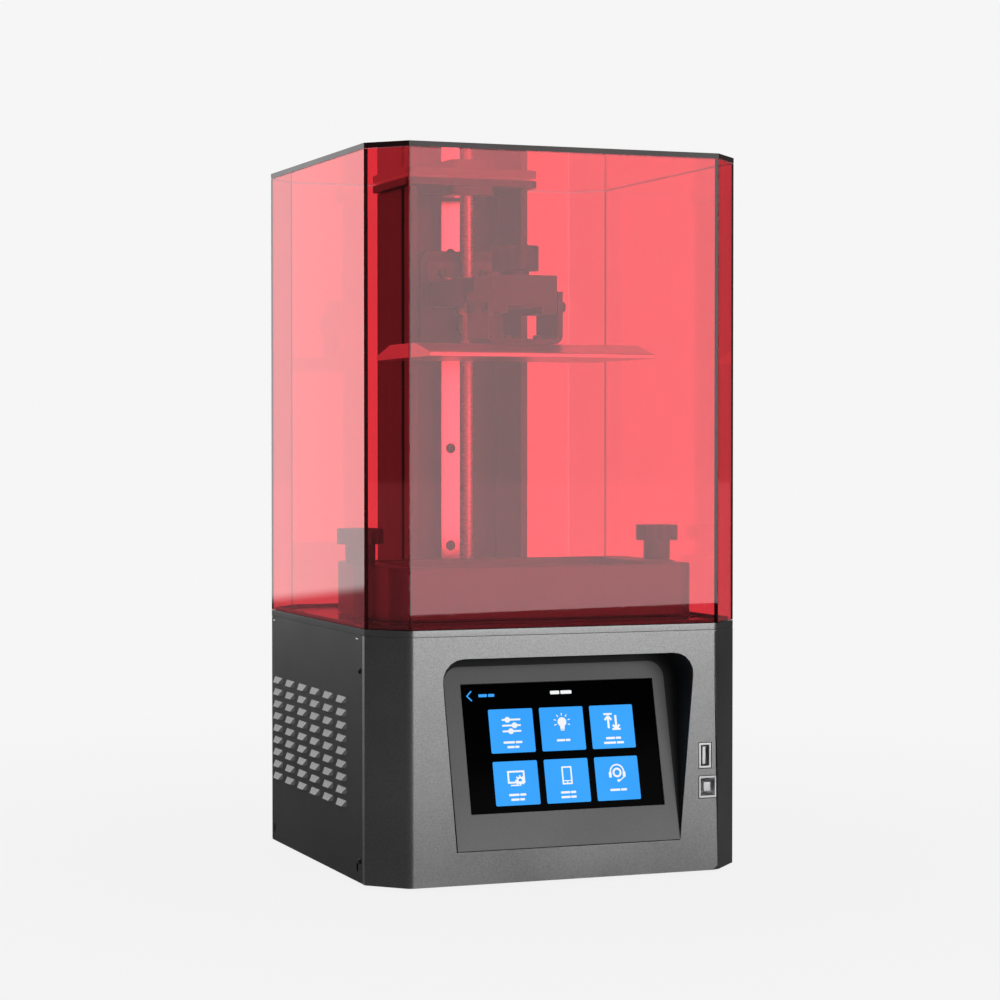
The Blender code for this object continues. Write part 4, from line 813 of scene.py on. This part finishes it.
# %% A socket-head screw
def make_screw(radius, height, socket, sides=20, dome=0.3):
    """A screw head standing on the XY plane, with a socket pressed into its top."""
    pick(floor)
    bpy.ops.mesh.primitive_cylinder_add(vertices=sides, radius=radius, depth=height,
                                        location=(0, 0, height / 2))
    head = settle(bpy.context.object)
    edit(head)
    choose_faces(head, lambda centre, normal: normal.z > 0.9)
    bpy.ops.mesh.inset(thickness=radius * dome)
    bpy.ops.transform.translate(value=(0, 0, radius * dome * 0.35))
    bpy.ops.mesh.inset(thickness=radius * (1 - dome) - socket)
    extrude(0, 0, -height * 0.6)
    bpy.ops.transform.resize(value=(0.9, 0.9, 1))
    done()
    bpy.ops.object.shade_smooth_by_angle(angle=math.radians(30))
    return head


def turned(place, direction):
    """The matrix that puts +Z along a direction, at a place."""
    turn = Vector(direction).to_track_quat("Z", "Y").to_matrix().to_4x4()
    return Matrix.Translation(place) @ turn


def screws_at(master, name, places, body, slot, finish=None):
    """The same screw at each (place, direction), as one piece."""
    copies = []
    for place, direction in places:
        one = new_object(name, master.data.copy())
        one.data.transform(turned(place, direction))
        copies.append(one)
    pick(*copies)
    if len(copies) > 1:
        bpy.ops.object.join()
    return attach(bpy.context.object, name, body, slot, finish)


right_x, back_y, _ = cad_box[1]
small_screw = make_screw(1.5 * MM, 0.8 * MM, 0.7 * MM)
seam_y = panel_low.y + 4 * MM
seam_places = [((side * right_x, seam_y, z), (side, 0, 0))
               for side in (-1, 1) for z in (14 * MM, 118 * MM)]
screws_at(small_screw, "seam_screws", seam_places, "base", "side_paint", "black_plastic")
rear_places = [((x * MM, back_y, z * MM), (0, 1, 0))
               for x, z in ((-84, 10), (84, 10), (-84, 129), (84, 129), (0, 129), (0, 10))]
screws_at(small_screw, "rear_screws", rear_places, "base", "side_paint", "bright_steel")
fan_places = [((x * MM, back_y, z * MM), (0, 1, 0)) for x in (-65, -15) for z in (50, 100)]
screws_at(small_screw, "fan_screws", fan_places, "base", "side_paint", "black_plastic")
deck_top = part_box("top_deck")[1].z
deck_places = [((x * MM, y * MM, deck_top), (0, 0, 1))
               for x, y in ((-99, -60), (99, -60), (-73, 96), (73, 96), (-99, 60), (99, 60))]
screws_at(small_screw, "deck_screws", deck_places, "base", "deck_paint", "black_plastic")


# %% Hooking slots near the corners of the side panels
def make_slot_mark(length, height):
    """A rounded shallow tray the size of a slot in the sheet, laid on the panel."""
    tray = add_box((0.3 * MM, length, height))
    edit(tray)
    choose_edges(tray, lambda a, b: abs(a.x - b.x) > 0.1 * MM)
    bpy.ops.mesh.bevel(offset=height * 0.45, segments=4, affect="EDGES")
    for outward in (-1, 1):
        choose_faces(tray, lambda centre, normal: normal.x * outward > 0.9)
        bpy.ops.mesh.inset(thickness=0.25 * MM)
        bpy.ops.transform.translate(value=(-outward * 0.1 * MM, 0, 0))
    done()
    return tray


for name, length, height, z in (("hooking_slots", 6 * MM, 1.5 * MM, 135.6 * MM),
                                ("keyholes", 1.7 * MM, 5 * MM, 10 * MM)):
    slot_mark = make_slot_mark(length, height)
    slot_places = [(side * right_x, y, z) for side in (-1, 1)
                   for y in (panel_low.y + 8.5 * MM, panel_high.y - 5 * MM)]
    slots = copy_to(slot_mark, slot_places)
    # The trays are black: painted shade where the slots open into the dark inside of the base.
    attach(slots, name, "base", "side_paint", "black_plastic")
    discard(slot_mark)
    if name == "keyholes":
        continue
    hook = make_slot_mark(length * 0.72, height * 0.45)
    hook_places = [(x + math.copysign(0.12 * MM, x), y, z - 0.3 * MM) for x, y, z in slot_places]
    hooks = copy_to(hook, hook_places)
    attach(hooks, name + "_hooks", "base", "side_paint", "white_metal")
    discard(hook)

# %% Locating lip for the cover
lip = weld_copy("cover_top")
lip.data.transform(Matrix.Translation((0, 0, -lip.data.vertices[0].co.z)))
edit(lip)
choose_all()
bpy.ops.transform.resize(value=(0.967, 0.967, 0.67), center_override=(0, 0, 0))
choose_faces(lip, lambda centre, normal: abs(normal.z) > 0.9)
bpy.ops.mesh.inset(thickness=1.4 * MM)
bpy.ops.mesh.bridge_edge_loops()
done()
lowest = min(corner.co.z for corner in lip.data.vertices)
lip.data.transform(Matrix.Translation((0, 0, deck_top - lowest)))
soften(lip, 0.2 * MM, 1)
attach(lip, "cover_locating_lip", "base", "deck_paint", "black_plastic")
print("lip", [round(v / MM, 1) for v in (lip.dimensions)], len(lip.data.polygons), "faces")

# %% [markdown]
# ## Screen
#
# The touch display is a black glass front on a sloping bezel. Its picture is a settings
# page: a back arrow and a title over six blue tiles, each with a white symbol and a line
# of small marks where a caption would be. Tiles and symbols are thin raised shapes that
# glow. They are drawn flat, standing in the XZ plane, and then leant back on the glass.

# %% Display glass
glass = refine("touch_display", 0.4 * MM, 3)
display_low, display_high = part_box("touch_display")
LEAN = math.radians(14.4)
DISPLAY_HEIGHT = 71.5 * MM
DISPLAY_WIDTH = display_high.x - display_low.x
foot = Vector((display_low.x, display_low.y, display_high.z - DISPLAY_HEIGHT * math.cos(LEAN)))
print("display", round(DISPLAY_WIDTH / MM, 1), "x", round(DISPLAY_HEIGHT / MM, 1), "mm")


# %% Grey panel round the display
PANEL_WIDTH = 132.4 * MM
PANEL_HEIGHT = 101.6 * MM
PANEL_THICK = 0.8 * MM
WINDOW_RIGHT = 1.2 * MM  # the window sits this far right of the panel's middle
SILL = 20 * MM
bezel_panel = add_box((PANEL_WIDTH, PANEL_THICK, PANEL_HEIGHT))
edit(bezel_panel)
choose_edges(bezel_panel, lambda a, b: abs(a.y - b.y) > 0.1 * MM and a.z > 0)
bpy.ops.mesh.bevel(offset=9 * MM, segments=8, affect="EDGES")
done()
window = add_box((DISPLAY_WIDTH + 0.3 * MM, 10 * MM, DISPLAY_HEIGHT + 0.3 * MM),
                 (WINDOW_RIGHT, 0, SILL + (DISPLAY_HEIGHT - PANEL_HEIGHT) / 2))
opening = bezel_panel.modifiers.new("window", "BOOLEAN")
opening.object = window
opening.solver = "EXACT"
apply_all(bezel_panel)
discard(window)
bezel_panel.data.transform(Matrix.Translation((2 * MM, cad_box[0][1], SILL))
                           @ Matrix.Rotation(-LEAN, 4, "X")
                           @ Matrix.Translation(
                               (0, -PANEL_THICK / 2, PANEL_HEIGHT / 2 + 0.3 * MM)))
soften(bezel_panel, 0.3 * MM, 2)
attach(bezel_panel, "bezel_panel", "base", "bezel_plastic")
print("bezel panel:", len(bezel_panel.data.polygons), "faces")


# %% Flat shapes on the screen
def flat_bar(x, y, width, height, turn=0.0, radius=0.0, thick=0.12):
    """A flat bar centred at x, y on the screen, in millimetres from its middle."""
    pick(floor)
    bpy.ops.mesh.primitive_plane_add(size=1, location=(0, 0, 0))
    bar = bpy.context.object
    bar.scale = (width * MM, height * MM, 1)
    settle(bar)
    edit(bar)
    if radius:
        choose_all()
        bpy.ops.mesh.bevel(offset=radius * MM, segments=4, affect="VERTICES")
    choose_all()
    extrude(0, 0, thick * MM)
    done()
    bar.data.transform(Matrix.Translation((x * MM, y * MM, 0)) @ Matrix.Rotation(turn, 4, "Z"))
    return bar


def flat_disc(x, y, radius, hole=0.0, sides=28, thick=0.12):
    """A flat disc or ring centred at x, y."""
    pick(floor)
    bpy.ops.mesh.primitive_circle_add(vertices=sides, radius=radius * MM, fill_type="NGON")
    disc = bpy.context.object
    edit(disc)
    if hole:
        choose_all()
        bpy.ops.mesh.inset(thickness=(radius - hole) * MM)
        bpy.ops.mesh.delete(type="FACE")
    choose_all()
    extrude(0, 0, thick * MM)
    done()
    disc.data.transform(Matrix.Translation((x * MM, y * MM, 0)))
    return disc


def lay_on_screen(shapes, name, u, v, finish, lift):
    """Join flat shapes and lay them on the glass at u across and v down, as shares of it."""
    pick(*shapes)
    if len(shapes) > 1:
        bpy.ops.object.join()
    piece = bpy.context.object
    upright = Matrix.Rotation(math.radians(90), 4, "X")
    lean_back = Matrix.Rotation(-LEAN, 4, "X")
    spot = Vector((u * DISPLAY_WIDTH, 0, (1 - v) * DISPLAY_HEIGHT))
    place = Matrix.Translation(foot) @ lean_back @ Matrix.Translation(spot) @ upright
    piece.data.transform(Matrix.Translation((0, 0, lift * MM)))
    piece.data.transform(place)
    turn_outwards(piece)
    return attach(piece, name, "base", "display_glass", finish)


# %% Symbols for the tiles, drawn from bars and discs
def ray_bars(x, y, inner, outer, count, start, sweep, width=0.5):
    """Short bars round a centre, like the rays of a lamp."""
    middle = (inner + outer) / 2
    bars = []
    for step in range(count):
        angle = start + sweep * step / (count - 1)
        spot = (x + middle * math.cos(angle), y + middle * math.sin(angle))
        bars.append(flat_bar(*spot, outer - inner, width, angle))
    return bars


def symbol(kind):
    """The flat shapes of one tile's symbol, centred on it."""
    if kind == "sliders":
        shapes = []
        for y, knob in ((3.2, -2.2), (0.0, 1.8), (-3.2, -0.6)):
            shapes += [flat_bar(0, y, 11.0, 1.0, radius=0.3), flat_disc(knob, y, 1.6, 0.6)]
        return shapes
    if kind == "lamp":
        return [flat_disc(0, 0.8, 2.6), flat_bar(0, -2.3, 2.6, 1.6), flat_bar(0, -3.7, 2.2, 0.6),
                *ray_bars(0, 0.8, 3.6, 5.0, 7, math.radians(-20), math.radians(220))]
    if kind == "arrows":
        shapes = [flat_bar(-2.3, 4.2, 5.0, 1.0), flat_bar(2.3, -4.4, 5.0, 1.0)]
        for x, way in ((-2.3, 1), (2.3, -1)):
            shapes.append(flat_bar(x, -0.2, 1.2, 7.2))
            tip = (2.9 if way > 0 else -4.1)
            for side in (-1, 1):
                shapes.append(flat_bar(x + side * 0.95, tip - way * 0.95, 3.0, 1.2,
                                       -side * way * math.radians(45)))
        return shapes
    if kind == "monitor":
        return [flat_bar(0, 3.4, 10.2, 1.0), flat_bar(0, -2.6, 10.2, 1.0),
                flat_bar(-4.6, 0.4, 1.0, 6), flat_bar(4.6, 0.4, 1.0, 6),
                flat_bar(-1.0, -4.2, 5.0, 0.7), flat_disc(2.2, -1.6, 2.1, 1.1),
                *ray_bars(2.2, -1.6, 2.0, 2.9, 8, 0, math.radians(315), 0.8)]
    if kind == "phone":
        return [flat_bar(-2.6, 0, 0.8, 10, radius=0.3), flat_bar(2.6, 0, 0.8, 10, radius=0.3),
                flat_bar(0, 4.6, 5.6, 0.8), flat_bar(0, -4.6, 5.6, 0.8),
                flat_bar(0, -3.0, 5.0, 0.5), flat_disc(0, -3.8, 0.4)]
    arc = ray_bars(0, 0.6, 3.6, 4.4, 13, math.radians(0), math.radians(180), 1.2)
    return [*arc, flat_bar(-4.2, -0.9, 1.6, 3.2, radius=0.5),
            flat_bar(4.2, -0.9, 1.6, 3.2, radius=0.5),
            flat_disc(0, 0.2, 2.7, 1.6), flat_bar(2.6, -3.4, 3.4, 0.6, math.radians(35)),
            flat_disc(0.6, -4.3, 0.8)]


# %% The settings page
TILE_WIDTH = 0.227 * DISPLAY_WIDTH / MM
TILE_HEIGHT = 0.341 * DISPLAY_HEIGHT / MM
CAPTIONS = ((11, 7), (8,), (9, 12), (10, 8), (9, 9), (10,))
kinds = ("sliders", "lamp", "arrows", "monitor", "phone", "headset")
for number, kind in enumerate(kinds):
    u = 0.131 + 0.1135 + 0.2625 * (number % 3)
    v = 0.196 + 0.1705 + 0.406 * (number // 3)
    tile = flat_bar(0, 0, TILE_WIDTH, TILE_HEIGHT, radius=0.8)
    lay_on_screen([tile], f"tile_{number + 1}", u, v, "tile_blue", 0.02)
    marks = symbol(kind)
    for mark in marks:
        mark.data.transform(Matrix.Translation((0, 3.0 * MM, 0)))
    for line, length in enumerate(CAPTIONS[number]):
        words = (length * 0.6, length * 0.35)
        start = -length / 2
        for word in words:
            marks.append(flat_bar(start + word / 2, -6.4 - 2.6 * line, word, 1.2, radius=0.3))
            start += word + length * 0.05
    lay_on_screen(marks, f"tile_mark_{number + 1}", u, v, "icon_white", 0.15)
arrow = [flat_bar(-1.0, 1.3, 4.0, 0.7, math.radians(45)),
         flat_bar(-1.0, -1.3, 4.0, 0.7, math.radians(-45)),
         flat_bar(7.0, 0, 5.0, 1.6, radius=0.4), flat_bar(12.0, 0, 3.6, 1.6, radius=0.4)]
lay_on_screen(arrow, "back_arrow", 0.05, 0.085, "tile_blue", 0.02)
title = [flat_bar(-3.6, 0, 5.4, 1.9, radius=0.4), flat_bar(3.2, 0, 6.6, 1.9, radius=0.4)]
lay_on_screen(title, "page_title", 0.515, 0.08, "icon_white", 0.02)

# %% [markdown]
# ### Sockets
#
# A USB socket is a folded steel shell round a plastic tongue. The flat one for a memory
# stick has its tongue along one side; the square one for a cable has a block in the
# middle. The shells are the CAD nodes, and the tongues are added here.

# %% Socket shells and tongues
def make_block(name, low, high, radius, body, slot, finish=None):
    """A small block between two corners, with rounded edges."""
    low, high = Vector(low), Vector(high)
    block = add_box(high - low, (low + high) / 2)
    soften(block, radius, 2)
    return attach(block, name, body, slot, finish)


for node in ("usb_a_socket", "usb_b_socket"):
    refine(node, 0.2 * MM, finish="white_metal")
a_low, a_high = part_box("usb_a_socket")
make_block("usb_a_tongue", (a_low.x + 2.6 * MM, a_low.y + 1.2 * MM, a_low.z + 2.2 * MM),
           (a_low.x + 4.6 * MM, a_high.y - 1.2 * MM, a_high.z - 2.2 * MM),
           0.2 * MM, "base", "bright_steel", "white_metal")
b_low, b_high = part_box("usb_b_socket")
make_block("usb_b_tongue", (b_low.x + 3.4 * MM, b_low.y + 1.2 * MM, b_low.z + 3.6 * MM),
           (b_high.x - 3.4 * MM, b_high.y - 1.2 * MM, b_high.z - 3.6 * MM),
           0.2 * MM, "base", "bright_steel", "white_metal")

# %% [markdown]
# ## Z column
#
# Two black extruded channels make one wide profile that stands on the deck. Between its
# walls run a ground linear rail and the lead screw, and a milled cap ties the top. The
# rail is bolted through counterbored holes, so each hole shows a dark screw head.

# %% Column, cap, rail and bearing
for node, radius, finish in (("z_column", 0.5, None), ("column_cap", 0.7, "vat_alloy"),
                             ("screw_bearing", 0.3, None), ("limit_switch", 0.5, None),
                             ("z_motor", 0.5, None)):
    refine(node, radius * MM, finish=finish)
refine("linear_rail", 0.4 * MM, finish="ground_steel")
rail_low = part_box("linear_rail")[0]
rail_screw = make_screw(2.9 * MM, 2.2 * MM, 1.4 * MM)
FIRST_HOLE = 28.9 * MM  # from the foot of the rail
HOLE_PITCH = 59.7 * MM
rail_places = [((0, rail_low.y + 3 * MM, rail_low.z + FIRST_HOLE + HOLE_PITCH * step), (0, -1, 0))
               for step in range(4)]
screws_at(rail_screw, "rail_screws", rail_places, "base", "bright_steel", "black_plastic")
cap_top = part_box("column_cap")[1].z
cap_screw = make_screw(2.6 * MM, 1.6 * MM, 1.3 * MM)
cap_places = [((x * MM, y * MM, cap_top), (0, 0, 1)) for x in (-34, 34) for y in (52, 98)]
screws_at(cap_screw, "cap_screws", cap_places, "base", "bright_steel")

# %% [markdown]
# ### Lead screw
#
# The lead screw has a trapezoid thread with two starts: each start climbs 4 mm a turn, so
# its ridges stand 2 mm apart. A small trapezoid is placed at the root of the thread and
# the Screw modifier winds it up the shaft. The shaft itself is thinner than the CAD bar,
# because the bar's radius is that of the thread's crest.

# %% Shaft and thread
screw_low, screw_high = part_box("lead_screw")
SCREW_LEAD = 4 * MM
CREST = (screw_high.x - screw_low.x) / 2
ROOT = CREST - 0.75 * MM
screw_axis = Vector((0, (screw_low.y + screw_high.y) / 2, 0))
pick(floor)
bpy.ops.mesh.primitive_cylinder_add(vertices=24, radius=ROOT, depth=screw_high.z - screw_low.z,
                                    location=(0, screw_axis.y, (screw_low.z + screw_high.z) / 2))
shaft = settle(bpy.context.object)
soften(shaft, 0.5 * MM, 2, 50)
TURNS = int((screw_high.z - screw_low.z - 6 * MM) / SCREW_LEAD)
starts = []
for start in range(2):
    pick(floor)
    bpy.ops.mesh.primitive_plane_add(size=1, location=(0, 0, 0))
    tooth = bpy.context.object
    tooth.scale = (CREST - ROOT + 0.1 * MM, 1.0 * MM, 1)
    settle(tooth)
    edit(tooth)
    choose_edges(tooth, lambda a, b: a.x > 0 and b.x > 0)
    bpy.ops.transform.resize(value=(1, 0.5, 1))
    done()
    stand = Matrix.Rotation(math.radians(90), 4, "X")
    out = Matrix.Translation(((CREST + ROOT - 0.1 * MM) / 2, 0, 0))
    tooth.data.transform(Matrix.Rotation(math.pi * start, 4, "Z") @ out @ stand)
    wind = tooth.modifiers.new("wind", "SCREW")
    wind.angle = 2 * math.pi
    wind.screw_offset = SCREW_LEAD
    wind.iterations = TURNS
    wind.steps = 18
    wind.render_steps = 18
    wind.use_merge_vertices = True
    wind.merge_threshold = 0.01 * MM
    apply_all(tooth)
    tooth.data.transform(Matrix.Translation((0, screw_axis.y, screw_low.z + 2 * MM)))
    turn_outwards(tooth)
    starts.append(tooth)
pick(shaft, *starts)
bpy.ops.object.join()
attach(shaft, "threaded_screw", "lead_screw", "bright_steel", "rolled_steel")
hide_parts("lead_screw")
print("lead screw:", TURNS, "turns,", len(shaft.data.polygons), "faces")

# %% [markdown]
# ## Carriage and platform
#
# The carriage plate runs on the rail, and an arm reaches forward from it. The platform
# slides on to the arm's tongue and is held by the big black clamp knob. Below hang the
# U-shaped bracket and the build plate, levelled by four screws with star washers.

# %% Milled blocks of the carriage and platform
for node, radius in (("rail_block", 0.5), ("carriage_plate", 0.6), ("platform_arm", 0.7),
                     ("screw_nut", 0.3), ("platform_block", 0.6), ("platform_bracket", 0.4),
                     ("build_plate", 0.5)):
    refine(node, radius * MM)
for number in range(1, 5):
    refine(f"levelling_screw_{number}", 0.35 * MM, finish="black_alloy")

# %% Clamp bar and cap screws on the carriage plate
plate_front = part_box("carriage_plate")[0].y
make_block("clamp_bar", (-23 * MM, plate_front - 1.2 * MM, 339.3 * MM),
           (23 * MM, plate_front + 0.1 * MM, 351.5 * MM), 0.4 * MM,
           "carriage", "black_alloy", "vat_alloy")
carriage_screw = make_screw(2.7 * MM, 2.4 * MM, 1.3 * MM)
bar_places = [((x * MM, plate_front - 1.2 * MM, 344.6 * MM), (0, -1, 0)) for x in (-13.2, 13.2)]
screws_at(carriage_screw, "clamp_bar_screws", bar_places, "carriage", "bright_steel",
          "black_alloy")
arm_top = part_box("platform_arm")[1].z
arm_places = [((x * MM, 46 * MM, arm_top), (0, 0, 1)) for x in (-14, 14)]
screws_at(carriage_screw, "arm_screws", arm_places, "carriage", "bright_steel")

# %% Star washers under the levelling screws and screws in the bracket floor
NARROWED = 0.78  # the valleys between the teeth, as a share of the radius


def make_star_washer(radius, hole, teeth, thickness):
    """A flat washer with teeth, standing on the XY plane."""
    pick(floor)
    bpy.ops.mesh.primitive_circle_add(vertices=teeth * 2, radius=radius, fill_type="NGON")
    washer = bpy.context.object
    edit(washer)
    shape = bmesh.from_edit_mesh(washer.data)
    for index, corner in enumerate(shape.verts):
        corner.select_set(index % 2 == 1)
    shape.select_flush_mode()
    bpy.ops.mesh.select_mode(type="VERT")
    for index, corner in enumerate(shape.verts):
        corner.select_set(index % 2 == 1)
    bmesh.update_edit_mesh(washer.data)
    bpy.ops.transform.resize(value=(NARROWED, NARROWED, 1))
    bpy.ops.mesh.select_mode(type="FACE")
    choose_all()
    bpy.ops.mesh.inset(thickness=radius * NARROWED - hole)
    bpy.ops.mesh.delete(type="FACE")
    choose_all()
    extrude(0, 0, thickness)
    choose_all()
    bpy.ops.mesh.normals_make_consistent(inside=False)
    done()
    return washer


bracket_low, bracket_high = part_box("platform_bracket")
star = make_star_washer(4.7 * MM, 2.4 * MM, 8, 0.26 * MM)
star_places = []
for number in range(1, 5):
    low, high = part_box(f"levelling_screw_{number}")
    side = 1 if high.x > 0 else -1
    middle = (low + high) / 2
    star_places.append(((side * (bracket_high.x + 0.01 * MM), middle.y, middle.z), (side, 0, 0)))
screws_at(star, "star_washers", star_places, "platform", "bright_steel", "black_alloy")
floor_screw = make_screw(2.4 * MM, 1.8 * MM, 1.2 * MM)
floor_places = [((x * MM, y * MM, bracket_low.z + 3 * MM), (0, 0, 1))
                for x in (-9, 9) for y in (-42, -18)]
screws_at(floor_screw, "bracket_floor_screws", floor_places, "build_head", "bright_steel",
          "black_alloy")

# %% [markdown]
# ### Knobs
#
# The three knobs are moulded black plastic with eight soft lobes. The CAD knobs have the
# right outline, so the heads get a wide radius and a shallow dish in the top.

# %% Knob heads with soft lobes and a dished top
for node in ("clamp_knob", "vat_knob_left", "vat_knob_right"):
    low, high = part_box(node)
    knob = weld_copy(node)
    edit(knob)
    choose_faces(knob, lambda centre, normal: normal.z > 0.9 and centre.z > high.z - 0.1 * MM)
    bpy.ops.mesh.inset(thickness=3.2 * MM)
    bpy.ops.mesh.inset(thickness=1.2 * MM)
    bpy.ops.transform.translate(value=(0, 0, -0.7 * MM))
    done()
    soften(knob, 1.0 * MM, 3, 35)
    attach(knob, node + "_finished", body_of_node[node], "black_plastic")
    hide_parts(node)

# %% [markdown]
# ## Resin vat
#
# The vat is milled from one piece of alloy, with round corners, a thin rim and a lug at
# each end for its knob. A clear film under it is held by a flat ring.

# %% Vat, ring and film
for node, radius in (("vat_body", 1.0), ("film_ring", 0.3), ("masking_lcd", 0.3)):
    refine(node, radius * MM, 3 if node == "vat_body" else 2)

# %% [markdown]
# ## Cover
#
# Eight panes and a lid are glued into one cover. Each pane is a real 3 mm sheet, with its
# mitred ends and cut edges darker than its faces, because glue and saw marks scatter the
# light. So each pane has two materials: clear faces, and dark ends.

# %% Panes with dark ends
PANES = ("cover_front_left", "cover_front", "cover_front_right", "cover_right", "cover_rear_right",
         "cover_rear", "cover_rear_left", "cover_left", "cover_top")
for node in PANES:
    pane = weld_copy(node)
    widest = sorted((face.area for face in pane.data.polygons), reverse=True)[1] * 0.8
    pane.data.materials.clear()
    pick(pane)
    bpy.ops.object.shade_flat()
    attach(pane, node + "_finished", "cover", "red_acrylic")
    pane.data.materials.append(finishes["acrylic_edge"])
    for face in pane.data.polygons:
        face.material_index = 0 if face.area > widest else 1
    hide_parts(node)
print(len(PANES), "panes")

# %% Back of the machine: switch, inlet and fans
for node, radius in (("switch_housing", 0.3), ("switch_rocker", 0.5), ("dc_inlet", 0.3),
                     ("led_heatsink", 0.3), ("exhaust_fan_frame", 0.5), ("led_fan_frame", 0.5)):
    refine(node, radius * MM)
for screw in (small_screw, rail_screw, cap_screw, carriage_screw, star, floor_screw):
    discard(screw)
